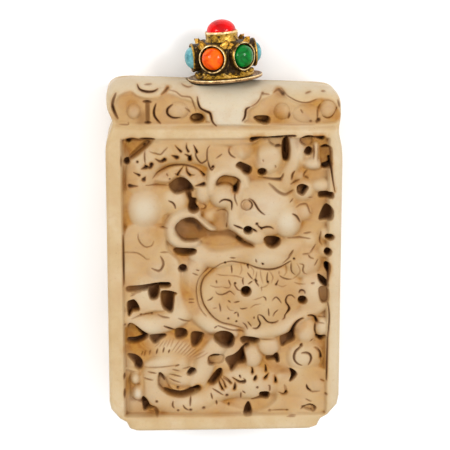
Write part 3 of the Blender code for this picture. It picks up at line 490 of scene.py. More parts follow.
def sink_recesses(stone):
    """Shallow hollows, then the brown ones, the horn hollow, the mouth ring and the open mouth."""
    for outline in RECESS_OUTLINES:
        stone.sunk(outline, RECESS, ochre=0.9)
    stone.sunk([(17.1, -5.7), (18.65, -5.7), (18.65, -8.1), (17.5, -8.2)], RECESS + 0.5, dark=0.3,
               ochre=1)
    stone.sunk([(14.2, -28.3), (14.8, -28.1), (15.7, -27.8), (16.6, -28.2), (16.8, -28.6), (15.7, -29)],
               RECESS + 0.5, ochre=0.9)
    stone.sunk([(13, 12.5), (13.2, 13.1), (13.9, 13.3), (14.9, 12.9), (14.6, 12.2), (14, 11.5),
                (13.2, 11.8)], -2.6, dark=0.45, ochre=0.6, slope=(-0.4, -0.2))
    stone.sunk([(-1.4, 13.4), (-1.1, 14.5), (-0.2, 15.1), (1, 15), (2, 14.7), (2.7, 13.9), (2, 12.5),
                (1.3, 13.2), (0.3, 13.7)], -1.9, ochre=0.8)
    stone.sunk([(-8.8, 5.6), (-7.8, 7), (-6.2, 7.6), (-4.9, 7.1), (-3.8, 5.7), (-2.2, 4.7), (-4.2, 3.6),
                (-7.4, 3.5)], RECESS + 0.1, dark=0.4, ochre=1, slope=(0.08, -0.1))
    # Painted shade: darker towards the top and right of the mouth ring's hollow
    stone.wash([(-7.4, 7), (-6, 7.6), (-4.8, 7), (-3.6, 5.4), (-4.6, 4.6), (-5.6, 5.8), (-7, 6.2)], 0.9,
               dark=0.72, soft=0.7)
    stone.cuts([(-8, 6.6), (-6, 5.8), (-4.4, 5.9)], [(-8.2, 5), (-6.6, 4.6), (-5, 5)], width=1.2, depth=0.2,
               dark=0.45)
    stone.sunk([(-3, 4.9), (1.2, 5.1), (2.8, 3.9), (5.3, 2.4), (2.6, 2.3), (-0.8, 1.6), (-3.6, 2.6)],
               -1.1, wall=1.1, dark=0.05, ochre=0.75)
    stone.sunk([(-2.8, 4.9), (-1, 4.8), (0.9, 5.1), (2, 4.3), (3, 3.4), (5, 2.3), (3.5, 2.6), (2.5, 3.1),
                (1, 3.9), (-1, 4.1), (-2.6, 4)], RECESS + 0.2, wall=0.6, dark=0.3, ochre=1)
    stone.wash([(-3, 5), (-1, 4.9), (0.9, 5.2), (2, 4.4), (3, 3.5), (5.3, 2.2), (3.5, 2.4), (2.5, 3),
                (1, 3.8), (-1, 4), (-2.8, 3.9)], 1, dark=0.45, soft=0.35)


PIT_OUTLINES = (
    [(-9.9, 13.3), (-9.2, 14.1), (-8.2, 14.65), (-7.1, 14.6), (-6.2, 13.9), (-5.6, 12.9), (-5.7, 12.3),
     (-7, 12.2), (-8.8, 12)],
    [(-7, 12.4), (-6, 12.3), (-5.8, 11.1), (-5, 10.8), (-5.1, 9.9), (-4.6, 9), (-5.5, 8.6),
     (-6.4, 9.1), (-6.3, 10.5)],
    [(2.1, 16.9), (2.7, 17.5), (3.6, 17.1), (4.8, 16.4), (4.5, 15.4), (3.6, 15.5), (3, 16.2)],
    [(10.3, 20.8), (11.2, 22), (11.6, 20), (11.5, 18.2), (11, 17.7), (10.4, 18.2)],
    [(14.2, 19.3), (14.9, 20.1), (15.6, 19.7), (15.4, 18.9), (14.7, 18.7)],
    [(17, 7), (17.8, 9.2), (18.6, 9.7), (19.4, 8.6), (19.2, 7.2), (18, 6.9)],
    [(17, 11.95), (18.4, 12), (19.3, 11.9), (19.3, 11.1), (18.2, 11), (17, 11)],
    [(7.1, 3.6), (7.9, 3.9), (9.9, 3.4), (9.8, 2.5), (8.7, 1.9), (7.6, 2.4)],
    [(-9.1, 1.5), (-8.2, 2), (-6.4, 1.9), (-5.1, 1.6), (-5.6, 0.9), (-7, 0.5), (-8.4, 0.7)],
    [(16.9, -3.3), (17.6, -3.6), (18.6, -4.6), (18.5, -5.5), (17.3, -4.6)],
    [(18.1, -1.2), (18.7, -0.9), (19, -1.6), (18.9, -2.7), (18.3, -2.2)],
    [(-17.5, -5.1), (-15, -4.95), (-12, -4.5), (-10, -4.5), (-10, -5.2), (-12, -5.3),
     (-15, -5.9), (-17.4, -6)],
    [(-13.6, -5.5), (-11.8, -5.2), (-12.1, -7.2), (-13.3, -7.4)],
    [(-11.3, -6.1), (-8.8, -6.4), (-9.1, -7), (-9.4, -9.7), (-10.3, -9.8), (-11.2, -8.7)],
    [(-17.5, -8.2), (-16.8, -7.7), (-16.1, -7.8), (-15.4, -9.4), (-16.6, -9.7), (-17.3, -10.4)],
    [(-13.6, -14.6), (-12.2, -14.3), (-10.6, -14.4), (-11.6, -15.2), (-12.7, -16)],
    [(-8.8, -13.3), (-7.3, -13.4), (-6.8, -13.9), (-6.9, -14.7), (-7.9, -15.1), (-8.8, -14.9)],
    [(-5.9, -14.1), (-3.9, -14.2), (-4, -15), (-4.3, -15.8), (-5.2, -16.6), (-5.9, -16.2)],
    [(-1.75, -14.2), (-0.5, -13.6), (1, -13.9), (1.8, -15), (1.6, -16.5), (0.8, -17), (-0.1, -16.7),
     (-1, -16), (-1.8, -15.2)],
    [(3, -15.2), (4.6, -14.8), (6.3, -15.3), (5.7, -16.1), (4.4, -16.1), (3.4, -16.2)],
    [(3.4, -16.9), (3.6, -17.8), (3.9, -19.7), (2.5, -20.2), (1.3, -21.3), (0.9, -20.5), (0.2, -19.3),
     (0.6, -18.8), (1.6, -18.5), (2.6, -17.8)],
    [(7.7, -18.6), (8.9, -18.6), (9.4, -18.1), (9.9, -18.6), (10, -19.8), (9.6, -19.9), (9.2, -19.4),
     (7.8, -19.4)],
    [(10.2, -15.1), (11, -14.6), (12.4, -14.1), (12.8, -15.5), (11.5, -16.3), (10.5, -16.8)],
    [(16.6, -14.7), (17.4, -14.8), (18.4, -14.8), (17.8, -15.6), (17.2, -15.5)],
    [(-17.6, -18), (-16.2, -18.2), (-15.2, -19), (-14.9, -20), (-15.3, -20.8), (-16.2, -20.4),
     (-16.4, -19.7), (-17, -19)],
    [(-15, -26.2), (-14.3, -26.5), (-13.7, -27.6), (-13, -28), (-13.9, -28.4), (-14.8, -28.7)],
    [(-3, -23.5), (-2.6, -22.8), (-1.2, -21.2), (-0.5, -21.1), (-0.5, -22), (-1.2, -23.1),
     (-2.1, -23.8)],
    [(-6.8, -21.6), (-6.2, -20.9), (-5.4, -20.8), (-5.3, -21.3), (-6.3, -22)],
    [(6.6, -25.4), (8.1, -25.5), (8.1, -26.7), (7.2, -26.8), (6.6, -26.3)],
    [(4.4, -27.5), (4.9, -28.6), (4.9, -29.5), (3.7, -29.6), (3.7, -28.8)],
    [(12, -21.1), (12.8, -21.4), (13.2, -22), (12.9, -22.6), (12, -23.3), (12.3, -22.2)],
)
ROUND_PITS = (
    (6.75, 15.7, 0.75, 0.65), (4.2, 5.3, 0.75, 0.65), (-7.5, -1.9, 0.75, 0.62), (18.85, 3.85, 0.75, 0.5),
    (18.6, 1.1, 0.6, 0.65), (3.87, -6, 0.85, 0.85), (14.15, -7.95, 0.75, 0.7), (-17.3, 17.8, 0.5, 0.5),
)


def sink_pits(stone):
    """Deep holes, tipped so that their left sides catch the light, their floors darkened with painted shade.
    """
    for outline in PIT_OUTLINES:
        stone.sunk(outline, PIT, slope=(-0.5, 0.1), dark=0.6, ochre=0.8)
    for x, y, half_width, half_height in ROUND_PITS:
        stone.sunk(oval(x, y, half_width, half_height), PIT, slope=(-0.4, 0.1), dark=0.5, ochre=0.8)


# Fine cuts, region by region

def cut_upper_body(stone):
    """Scales, spine and mane of the arched body at the top left."""
    stone.cuts([(-14.1, 19.8), (-14.1, 18.4), (-14, 17.3)],
               [(-13.2, 19.6), (-11.4, 19.1), (-10.7, 19.7), (-10, 20.4)], [(-1.5, 18.3), (-0.4, 19.1)],
               [(-10.3, 15.6), (-10, 15.1)], [(-14, 13.5), (-12, 13.5), (-10, 13.3)],
               [(-8.8, 15.6), (-8.3, 15.3)], [(-5.2, 15.3), (-6.1, 15.3)], width=0.28, dark=0.45)
    stone.cuts([(0.9, 20.1), (0.8, 19.5), (1.2, 18.8), (2, 18.35)],
               [(-3, 18.1), (-2.6, 16.6), (-2.2, 16.2), (-1.8, 16.7)],
               [(-5.5, 20.8), (-5.1, 20.2), (-4.85, 19.6), (-5.1, 19.1), (-4.8, 18.2), (-4.1, 17.4),
                (-3.5, 17.7), (-3.1, 18.1), (-3.1, 19), (-3, 20), (-2.6, 20.6)],
               [(-12.7, 14.7), (-11.9, 15.7), (-10.9, 16.3), (-9.9, 16.8), (-8.5, 17.1), (-7, 17.1),
                (-5.4, 16.7), (-4.4, 16.1), (-3.7, 15.4)], width=0.32, dark=0.75)
    stone.wedges([(-8.7, 20.7), (-8.2, 20.1), (-7.7, 19.6)], [(-6.7, 21.1), (-6.7, 20.3), (-6.4, 19.6)],
                 [(-5.4, 20.6), (-4.9, 19.5)], [(-7.2, 17), (-8, 15.9), (-8.3, 15.3)],
                 [(-6.8, 17), (-6.6, 15.9), (-6.1, 15.3)], [(-4.4, 16.1), (-3.6, 15.2)],
                 [(-16.1, 15.9), (-15.1, 15.4)], [(-2.6, 16.3), (-2, 16.8)], head=0.42)
    stone.wedges([(-14.7, 16.5), (-13.9, 16.8)], [(-14.1, 17.2), (-13.2, 16.7), (-12.9, 17.3)],
                 [(-12.2, 18.3), (-11.3, 17.8), (-10.6, 18.1)], [(-9.3, 18.9), (-8.4, 18.5)],
                 [(-7, 19.1), (-6.3, 18.7), (-6.1, 18.1)], [(-5.9, 19), (-6.1, 18.3)],
                 [(-15.4, 13.4), (-16.8, 13.4)], [(-5.2, 13.3), (-3.7, 13.6)], [(-14, 15.1), (-14.3, 14.6)],
                 head=0.75, depth=0.7)
    stone.spot(-15.4, 17.8, 0.28)
    stone.spot(-9.7, 14.6, 0.2)
    stone.cut([(-10, 10.7), (-9.3, 10.4), (-8.9, 9.9), (-8.7, 9.2)], width=0.36, dark=0.8)
    stone.wedge([(-15.2, 21.9), (-16.2, 21.9), (-17, 21.6)], head=0.9, depth=1.2)
    stone.cut([(-12.3, 21.9), (-13.4, 21.9), (-15, 22)], width=0.5, depth=0.8, dark=0.85)
    stone.cut([(-12.6, 21.8), (-14.1, 20.6), (-15.4, 19.4), (-16.8, 18.3)], width=1.1, depth=0.5, dark=0.35)
    stone.spot(-14.1, 20.6, 0.4, dark=0.5)
    stone.cut([(-18.25, 18.9), (-18.25, 17)], width=0.3, dark=0.5)
    stone.trough([(-9.6, 20.6), (-9, 19.6), (-8.8, 18.8)], 0.7, 0.25, 0.4)
    stone.trough([(-12, 20.4), (-12.2, 19.4), (-12, 18.6)], 0.7, 0.25, 0.4)
    stone.trough([(-6.9, 20.6), (-6.8, 19.4), (-6.5, 18.8)], 0.5, 0.2, 0.4)
    stone.wash([(-17.8, 17.4), (-15.8, 17.6), (-15.2, 14), (-17.6, 13.6)], 0.75)
    stone.wash([(-18.2, 13.4), (-17.4, 13.4), (-17.6, 6), (-18.2, 6)], 0.7)
    stone.wash([(-12, 14.4), (-9.4, 16.6), (-4.2, 15.8), (-3.6, 13.6), (-5, 13.4), (-7, 15), (-10, 14.4)],
               0.45)
    stone.wash([(-6.4, 12.4), (-2.4, 13), (-2.2, 9.6), (-4, 9), (-5.2, 9.4)], 0.35)
    stone.wash([(-12.4, 6.4), (-10, 6.4), (-9.8, 7.6), (-11.4, 7.8)], 0.6)


def cut_upper_right(stone):
    stone.wedge([(8, 22), (6.4, 22), (4.9, 21.7)], head=0.85, depth=1.6)
    stone.cuts([(7, 22), (9, 22.05), (11, 22.2), (12.6, 22.3)], [(13.6, 21.8), (14.6, 22.1), (15.8, 22.1)],
               width=0.5, depth=1.2, dark=0.8)
    stone.wedge([(14.8, 22.1), (16, 22), (17.4, 21.85)], head=0.8, depth=1.6)
    stone.cut([(11, 22.2), (10.85, 20.8), (10.9, 19)], width=0.4, depth=0.8, dark=0.5, ends=0.7)
    stone.cuts([(9, 20.3), (9.8, 20.35), (10.4, 20.2)], [(12, 14.3), (12.1, 15.2), (12.5, 15.9)],
               width=0.42, depth=0.4, dark=0.7)
    stone.cuts([(11.8, 13.5), (12.6, 13.9), (13.4, 14.3)], [(14.1, 14.8), (14.3, 15.4), (14.8, 15.9)],
               [(14.2, 14.9), (15.1, 14.4)], [(15.8, 20.6), (15.9, 19.2), (15.8, 18)], width=0.36,
               dark=0.55)
    stone.wedge([(6, 14.75), (8, 14.5), (9.9, 14.4)], head=0.6, depth=0.4, dark=0.75)
    stone.cut([(9.9, 14.4), (10.3, 14.9), (10.5, 15.5)], width=0.36, dark=0.6)
    stone.cut([(7.9, 13.7), (8.8, 12.9), (9.6, 12.2), (10.6, 11.7), (11.4, 11.8), (12.3, 12.4)], width=0.5,
              depth=0.35, dark=0.5)
    stone.wedge([(19.65, 12.2), (19.2, 14.6), (18.9, 16.8), (18.7, 18.2)], head=0.5, depth=0.7)
    stone.cut([(17.1, 20.1), (18, 20.25), (18.8, 20.1)], width=0.5, depth=0.6, dark=0.85)
    stone.cut([(17.5, 16.7), (18.2, 16.8), (18.8, 17.2)], width=0.9, depth=0.9, dark=0.95, ends=0.8)
    stone.cuts([(13.1, 12.3), (13.2, 13), (13.9, 13.3), (14.9, 13)],
               [(14.9, 12.9), (14.3, 12.2), (14, 11.7)], width=0.4, depth=0.4, dark=0.9)
    stone.cuts([(6.8, 18.1), (6.9, 17.6)], [(9, 17), (9.2, 16.4)], [(15, 11), (15.8, 10.9)], width=0.26,
               dark=0.35)
    stone.wash([(3, 20.4), (5.4, 20.4), (5.6, 17.2), (4, 17)], 0.65)
    stone.trough([(5.7, 20.6), (5.6, 18.8), (5.9, 17.2)], 0.7, 0.35, 0.6)
    stone.wash([(12.6, 21.8), (13.4, 21.6), (13.2, 20.6), (12.4, 20.9)], 0.3, dark=0.25)
    stone.wash([(14, 16.2), (18.6, 16.3), (18.8, 14.4), (15.6, 14.6)], 0.5)
    stone.wash([(12.6, 11.4), (16.6, 11.6), (16.8, 9.4), (12.4, 9.6)], 0.4)
    stone.trough([(13.2, 18.2), (13.4, 16.8), (13, 15.6)], 0.7, 0.3, 0.5)
    stone.trough([(16.8, 20.6), (16.7, 18.6), (17.2, 16.2)], 0.5, 0.25, 0.5)


def cut_head(stone):
    stone.cuts([(-1, 10.3), (-0.4, 10.8), (0.2, 10.9), (1.1, 10.6), (1.3, 10), (1.2, 9)],
               [(4.3, 11.1), (5, 10.7), (5.5, 10), (5.9, 9.3), (6.5, 8.6), (7.2, 8.1)],
               [(12.1, 8.2), (12.9, 7.7), (13.6, 6.5)],
               [(5.8, 6.5), (6.1, 6), (6.6, 5.7), (7.3, 5.85), (8.2, 5.8), (8.8, 5.4)],
               [(1.6, 6.3), (3.3, 5.6)], [(4.9, 5.6), (5.8, 5)], width=0.36, depth=0.35, dark=0.9)
    stone.wedges([(1, 5), (2, 4.4), (3, 3.2)], [(5.2, 2.2), (3.8, 2.6), (2.6, 3.7)], head=0.9, depth=0.5,
                 dark=0.6)
    stone.cut([(1.6, 14.9), (2.5, 14.4), (2.8, 13.9)], width=0.4, dark=0.7)
    stone.wedge([(2.6, 14), (2.3, 13.2), (1.9, 12.6)], head=1.1, depth=0.7, dark=0.9)
    stone.wash([(-1.2, 13.6), (-0.8, 14.8), (1, 15), (1.2, 13.8)], 0.7, dark=0.12)
    stone.cuts([(4.2, 10.9), (4.8, 10.3), (4.9, 9.7), (4.5, 9.1)], [(1.9, 12.4), (1.8, 11.2), (2.3, 9.8)],
               [(12.8, 9.2), (13.5, 9.7), (14.6, 9.8), (15, 9.2), (15.3, 8.3), (15.7, 8)],
               [(14.2, 4.4), (15.6, 4.6)], [(11.3, 3.6), (13.5, 3.7), (15.5, 3.5)],
               [(17.3, 4.9), (17.2, 3), (17.6, 2.2)], [(11.7, 10.2), (12.3, 10.8)], width=0.3, dark=0.5)
    stone.dome(4.1, 9.9, 0.75, 0.75, HEAD + 0.1, drop=0.35)
    stone.cut(oval(3.9, 9.9, 0.95, 0.95), width=0.26, depth=0.2, dark=0.35, closed=True)
    stone.wash(oval(3.9, 9.9, 0.9, 0.9), 0.6)
    stone.spot(5.75, 6.5, 0.3)
    stone.spot(6.6, 5.6, 0.26)
    stone.cuts([(-1.4, 8.7), (0.4, 8.7), (0.5, 7.2), (0.4, 5.5)], width=0.3, depth=0.3, dark=0.3)
    stone.cut([(-3.8, 9.9), (-3.3, 9.5), (-3.6, 9), (-4.2, 9)], width=0.3, dark=0.5)
    stone.wash([(-2, 8.3), (0.2, 8.3), (0, 5.6), (-1.6, 5.8)], 0.85, dark=0.15)
    stone.wash([(-3, 4.9), (1.2, 5.1), (2.8, 3.9), (5.3, 2.4), (2.6, 2.9), (-0.8, 3.9), (-3.6, 3.4)], 0.9,
               dark=0.3)
    stone.wash([(-3, 3.4), (1, 3.9), (2, 1.6), (-2.8, 1)], 0.45)


def cut_left_clouds(stone):
    stone.cuts([(-15.4, 4.8), (-15.4, 3.8), (-14.9, 2.8), (-14, 2.2), (-13, 2.5), (-12.6, 3.3)],
               [(-11.5, 5.8), (-10.1, 5.8)], [(-11.5, 1.2), (-10, 1.2)],
               [(-18, 1.3), (-16, 1.2), (-15, 0.8), (-14, 0), (-13.4, 0)], width=0.28, dark=0.35)
    stone.cut([(-11.5, 0.5), (-11, -0.5), (-11.1, -1.4), (-11.8, -2.1), (-13.1, -1.6)], width=0.42,
              depth=0.4, dark=0.55)
    stone.cut([(-18.1, 4.6), (-18.1, 0), (-18.1, -4.9)], width=0.34, depth=0.4, dark=0.8)
    stone.cuts([(-16.8, -6.4), (-15, -6.1)], [(-16.9, -6.9), (-16, -6.4)], width=0.3, dark=0.35)
    stone.cuts([(-6.5, -7.5), (-5.5, -7.5)], [(-6.5, -8.15), (-5.5, -8.1)], [(-5.8, -2.6), (-4.7, -3.1)],
               [(-5.1, -2), (-4.5, -2.2)], width=0.26, dark=0.5)
    stone.trough([(-7.6, -2.6), (-7.7, -5), (-7.4, -7.6), (-6.6, -9.4)], 0.9, 0.15, 0.6)
    stone.wash([(-12.6, 5.8), (-10, 5.8), (-10, 1.4), (-12, 1.6)], 0.55)
    stone.wash([(-14.6, -3), (-12, -4.3), (-10.6, -4.2), (-14.6, -4.6)], 0.5)


def cut_leg(stone):
    stone.cuts([(-12.1, -10.4), (-11, -10.8), (-9.9, -10.9)], [(-8.4, -11), (-7.5, -11.4), (-6.2, -11.9)],
               width=0.32, dark=0.55)
    stone.cut([(-11, -12.4), (-10, -12.9), (-8.9, -13.4)], width=0.38, depth=0.4, dark=0.85)
    stone.cut([(-16.8, -11), (-15, -10.4), (-13, -10.2)], width=0.26, dark=0.3)
    for x, y in ((-15.1, -10.3), (-13.1, -10.2), (-18, -12.1)):
        stone.spot(x, y, 0.25, 0.2, 0.5)
    stone.cut([(-17.3, -15.35), (-16, -15.4), (-14.6, -14.9)], width=0.95, depth=1.2, dark=0.95, ends=0.8)
    stone.wedge([(-16, -12.9), (-15, -13.7), (-14.3, -14.4)], head=1.1, depth=1)


def cut_main_coil(stone):
    """Edge lines and scales of the great coil."""
    stone.cuts([(-2.3, -2.3), (-3.7, -3.8), (-4.25, -5.7), (-3.9, -8.1), (-3, -9.8), (-1.9, -11.1),
                (-0.5, -12), (1.3, -12.5), (3.1, -13.15)],
               [(-1.2, -12.5), (-0.4, -12.8), (1, -13.3), (2.5, -13.6), (3.4, -13.9)],
               [(-1.4, -12.6), (-1.8, -12.9)], [(0.1, -0.7), (1.3, -0.5), (2.8, -0.85), (4.4, -1.2)],
               width=0.27, dark=0.6, ends=0.8)
    stone.cuts([(-2.9, -1.9), (-4.5, -3.6), (-5.05, -5.6), (-4.8, -8.1), (-4.1, -9.7), (-3.3, -10.7)],
               [(-2.3, -2.3), (-0.9, -1.1), (0.1, -0.7)], width=0.24, dark=0.35, ends=0.8)
    stone.cut([(4.4, -1.2), (6, -1.8), (8.1, -2.1), (9.9, -1.8), (11, -1.2), (11.9, -0.6)], width=0.32,
              dark=0.75, ends=0.7)
    stone.cut([(10.4, -1.1), (11.4, -0.2), (12.1, 0.9), (12.4, 1.5)], width=0.28, dark=0.45)
    stone.cuts([(1.2, -1.3), (1.3, -2), (1.3, -2.7)], [(-1.5, -4), (-1.4, -4.6)],
               [(0.7, -3.9), (1.1, -4.9)], [(1.9, -4.3), (1.8, -4.7), (2, -5.2), (2.4, -5.7), (3, -5.9)],
               [(3.4, -3.5), (3.25, -4), (3.4, -4.8)], [(4.2, -1.3), (4.3, -1.9)],
               [(4.1, -2.6), (4.6, -3.3), (5.1, -3.8)], [(5.2, -4), (5.6, -3.8), (5.6, -4.3)],
               [(5, -4.1), (4.2, -4.7)],
               [(-1.6, -6.1), (-1.3, -6.5), (-0.6, -6.65), (0.2, -6.4), (0.9, -6), (1.3, -6.2),
                (1.8, -6.7)], [(-3.1, -7.9), (-2.5, -7.6), (-2.1, -7.1)], [(0.6, -7.7), (1.1, -8.1)],
               [(1.7, -8.1), (2.7, -7.9)], [(-1, -8.3), (-0.8, -9), (-0.7, -9.9)],
               [(2.8, -9.1), (3, -9.3), (3.6, -9.25), (4.1, -9.1)], [(2.3, -9.9), (1.7, -10.2)],
               [(2.4, -10), (2.5, -10.9)], [(3.3, -12), (3.8, -12.5), (4.2, -13.3)],
               [(4.2, -11.8), (4.9, -12.8)], [(5.35, -10.8), (5.35, -11.3)],
               [(7.8, -2.6), (7.65, -3.5), (7.7, -4.3), (8, -4.6)], [(5.5, -4), (5.7, -4.4), (6.2, -5.1)],
               [(9.7, -4), (9.3, -4.9)], [(9.9, -3.2), (10.4, -3.6), (11.3, -3.95), (12.1, -4)],
               [(12, -0.8), (12, -2), (12.2, -2.7), (12.7, -3.2)],
               [(8.8, -10.9), (9.1, -10.2), (9.7, -9.6)],
               [(8.6, -7.8), (9.2, -7.2), (9.8, -7.6), (10.3, -8.4)], [(6.9, -7), (7.3, -7.2), (7.5, -7.8)],
               [(7.9, -9.3), (8.05, -10.8)], width=0.27, depth=0.26, dark=0.7)
    stone.cuts([(-1.5, -2.9), (-0.5, -3.1), (0.8, -3.1)], [(0.8, -3.1), (2, -3.2), (3.4, -3.6)],
               [(5.8, -2.4), (5.7, -3.2), (5.6, -3.9)], [(9.8, -2.4), (9.9, -3.1)],
               [(6.7, -5.1), (6.6, -6)], [(-2.6, -5), (-1.6, -5.3), (-0.4, -5.2)],
               [(-0.4, -5.2), (0.7, -5.4), (1.1, -4.9)], [(-2.1, -9.3), (-1.4, -9.2)],
               [(0.4, -8.7), (0.9, -9.5), (1.7, -9.7)], [(5.2, -7.6), (6.2, -7.3), (6.9, -7)],
               [(4.6, -9.2), (5.4, -8.6), (6.6, -8.4)], [(12.6, -4.6), (13.6, -5), (14.6, -4.9)],
               width=0.22, depth=0.18, dark=0.35)
    stone.cuts([(6, -10.6), (6.4, -10.5), (7, -10.9), (7.4, -11.5), (7.9, -12), (8.6, -12.2), (9.3, -12.1),
                (9.8, -11.8)],
               [(5.1, -13.1), (5.9, -13.1), (6.4, -12.6), (6.45, -12.1), (6.1, -11.3), (6, -10.6)],
               [(12.8, -7.6), (12.2, -7), (11.5, -7), (11.1, -7.6), (11.15, -8.3), (11.6, -9), (11.7, -9.6),
                (11.4, -10.2), (11, -10.7), (10.9, -11.3), (10.5, -11.6)],
               [(13.5, -6.7), (13.7, -6.2), (14, -6.1), (14.4, -6.2), (14.6, -6.7)], width=0.32, depth=0.35,
               dark=0.85)
    stone.cut([(11.6, -9), (11.75, -9.6), (11.3, -10.3)], width=0.5, dark=0.8)
    for x, y in ((2.15, -11.75), (0.7, -11.2), (0.1, -0.7), (4.2, -1.3), (5.7, -4.1), (12.5, -0.1),
                 (7.8, -4.3), (9.3, -4.8), (6.9, -1), (1.9, -4.5)):
        stone.spot(x, y, 0.25)
    stone.cuts([(5.6, -0.1), (5.75, -0.8)], [(6.6, -0.8), (7.1, -1.1)], [(1, 0.2), (2, 0.1)],
               [(11.5, 0.3), (12, 1), (12.3, 1.5)], [(14, 0.7), (15.3, 0.8)],
               [(15, 0.7), (15.4, 0.1), (16.1, -0.2)], [(16.9, -0.3), (16.2, -1.5)],
               [(13.4, -1), (14.2, -1.3), (14.1, -2.2), (14.4, -2.9), (14.9, -3.1)],
               [(16.4, 2.4), (16, 1.6), (15.3, 0.8)], width=0.28, dark=0.5)
    stone.cut([(15.6, -4.8), (16.3, -4.7)], width=0.34, dark=0.6)
    stone.wash(oval(14.1, -6.6, 0.4, 0.35), 0.8)
    stone.wash([(-8.2, -0.6), (-4.8, -0.6), (-4.6, -5.6), (-4, -9.8), (-5.6, -10.8), (-7.6, -8.6)], 0.6)
    stone.trough([(-6.9, -2.6), (-7, -5.2), (-6.6, -7.8), (-5.2, -10.2)], 0.8, 0.2, 0.6)
    stone.cuts([(2.9, -1), (3.1, -2.1), (2.7, -3)], [(4.4, -1.3), (5.2, -2.2), (5.1, -3.2)],
               [(6.5, -1.9), (6.5, -3), (6.9, -4.6)], [(7.9, -2.2), (8.7, -3.4), (8.4, -4.6)],
               [(11, -1.3), (11.2, -2.6), (10.7, -3.4)], [(6.4, -5.4), (7.4, -5.1), (8, -4.6)],
               [(9.6, -4.9), (10.4, -5.3), (11.2, -5)], [(13, -0.9), (13.6, -2.4), (13, -3.6), (12.2, -4)],
               width=0.24, depth=0.16, dark=0.3)
    stone.wash([(3.4, -7.2), (5.6, -7.2), (5.8, -8), (3.2, -7.8)], 0.4)


def cut_right_edge(stone):
    stone.cut([(18.6, -0.9), (18.7, -3.4), (18.6, -4.8)], width=0.34, depth=0.4, dark=0.8)
    stone.wedge([(18.5, -4.4), (18.7, -3), (18.6, -1.6)], head=0.9, depth=0.7, dark=0.9)
    stone.cut([(18.7, -8.3), (19, -11), (18.75, -15)], width=0.3, depth=0.45, dark=0.6, ends=0.7)
    stone.cut([(18.75, -15), (18.7, -19), (18.65, -23)], width=0.3, depth=0.45, dark=0.75, ends=0.7)
    stone.cuts([(12.3, -14), (12.6, -12.9), (13.2, -12), (13.9, -11.4), (14.4, -11.3)],
               [(15.1, -10.8), (15.8, -10.8), (16.5, -11.3), (16.8, -12), (17, -12.2)], width=0.42,
               depth=0.45, dark=0.8)
    stone.wedge([(14.2, -11.3), (13.2, -11.9), (12.6, -12.9), (12.3, -14.2)], head=1.1, depth=0.7,
                dark=0.95)
    stone.wedge([(15.2, -10.8), (16.2, -11), (16.8, -12)], head=0.6, depth=0.5, dark=0.9)
    stone.cut([(16.6, -12.2), (16.4, -13.4), (16.7, -14.6)], width=0.34, dark=0.55)
    stone.cuts([(16.9, -11.2), (18.4, -11.2)], [(17, -12.2), (18.2, -12.3)], width=0.24, dark=0.3)
    stone.wash([(12.8, -12.6), (14.8, -11.5), (15, -13), (13.4, -14.6)], 0.65)
    stone.cut([(16.6, -12.6), (16.5, -13.8), (16.9, -14.7)], width=0.3, dark=0.35)


def cut_lower_right(stone):
    stone.cuts([(14.2, -16.2), (13.7, -16.9), (13, -17.6), (12.7, -18.5), (12.8, -19.3), (13.4, -20),
                (14.2, -20.3)],
               [(14, -17.9), (14.8, -17.8), (15.5, -18.1), (15.8, -18.7), (15.7, -19.4), (15.3, -20.2)],
               [(15.1, -24.1), (15.3, -24.8), (15.9, -25.2)], width=0.42, depth=0.4, dark=0.75)
    stone.wedges([(7.4, -20.3), (7.6, -20.7), (7.6, -21.3)], [(8.1, -21.7), (7.8, -22.1), (7.4, -22.6)],
                 [(9.2, -22.2), (9.3, -22.8), (9.4, -23.4)], [(5.8, -22), (5.8, -22.5), (5.5, -22.8)],
                 [(1.9, -23.3), (2, -24), (1.8, -24.6)], [(1.6, -22.5), (2.6, -23.2), (3.4, -23.2)],
                 [(4.9, -20.6), (5.1, -21), (5.1, -21.5)], [(10, -25.4), (10.8, -25.8), (11.3, -25.4)],
                 [(5, -26.9), (6, -26.5), (7, -26.1)], [(16.6, -17), (17.4, -17.8), (17.6, -18.8)],
                 head=0.5, dark=0.85)
    stone.trough([(11.8, -28.8), (8.4, -28.9)], 0.5, 0.1, 0.4)
    stone.wash([(8.5, -20), (10.5, -20.3), (12.2, -21.1), (12, -22), (10, -21.6)], 1, dark=0.15)
    stone.cuts([(11.4, -20.9), (12.4, -21.3), (12.9, -22), (12.4, -22.8), (11.8, -23.2)],
               [(8.4, -28.9), (11.8, -28.85)], [(11.4, -29.9), (13, -29.95)], width=0.26, depth=0.15,
               dark=0.45)
    stone.cuts([(16.3, -16.9), (17, -17.1), (17.5, -17.9), (17.7, -18.8), (17.6, -19.6)],
               [(15.7, -15.8), (16.1, -15.4)],
               [(15, -23.9), (15.1, -24.6), (15.6, -25.1), (16.2, -25.4), (17.5, -25.3)],
               [(17.5, -23), (18.3, -23.4)], [(14.9, -26.8), (15.5, -27.1), (16, -27.3)], width=0.3,
               dark=0.45)
    stone.cut([(14, -28.7), (14.9, -28.2), (15.9, -28), (16.7, -28.5), (16.4, -29.1), (15.9, -28.9)],
              width=0.4, depth=0.4, dark=0.6)
    stone.spot(14, -16.5, 0.35, dark=0.6)
    stone.spot(18.6, -25.7, 0.3, dark=0.5)
    stone.spot(8.3, -28.9, 0.3, 0.2, 0.45)
    stone.cuts([(11.2, -28.9), (11.8, -28.9)], [(11.8, -29.7), (13.1, -29.7)], width=0.3, dark=0.4)
    stone.wash([(8.6, -20), (12, -21.4), (12.6, -22.6), (10, -21.8)], 0.75)
    stone.cut([(11, -24), (11.3, -25.2), (11.2, -25.8), (10.3, -26)], width=0.5, depth=0.3, dark=0.25)
    stone.trough([(6, -27.4), (9, -26.6), (12, -26.4), (14.8, -26.8)], 0.8, 0.2, 0.35)
    stone.wash([(9.8, -14.8), (13, -14), (13.4, -16.6), (10, -17.4)], 0.6)
    stone.trough([(5.9, -16.2), (6.4, -17.6), (7.4, -18.5)], 0.4, 0.25, 0.5)


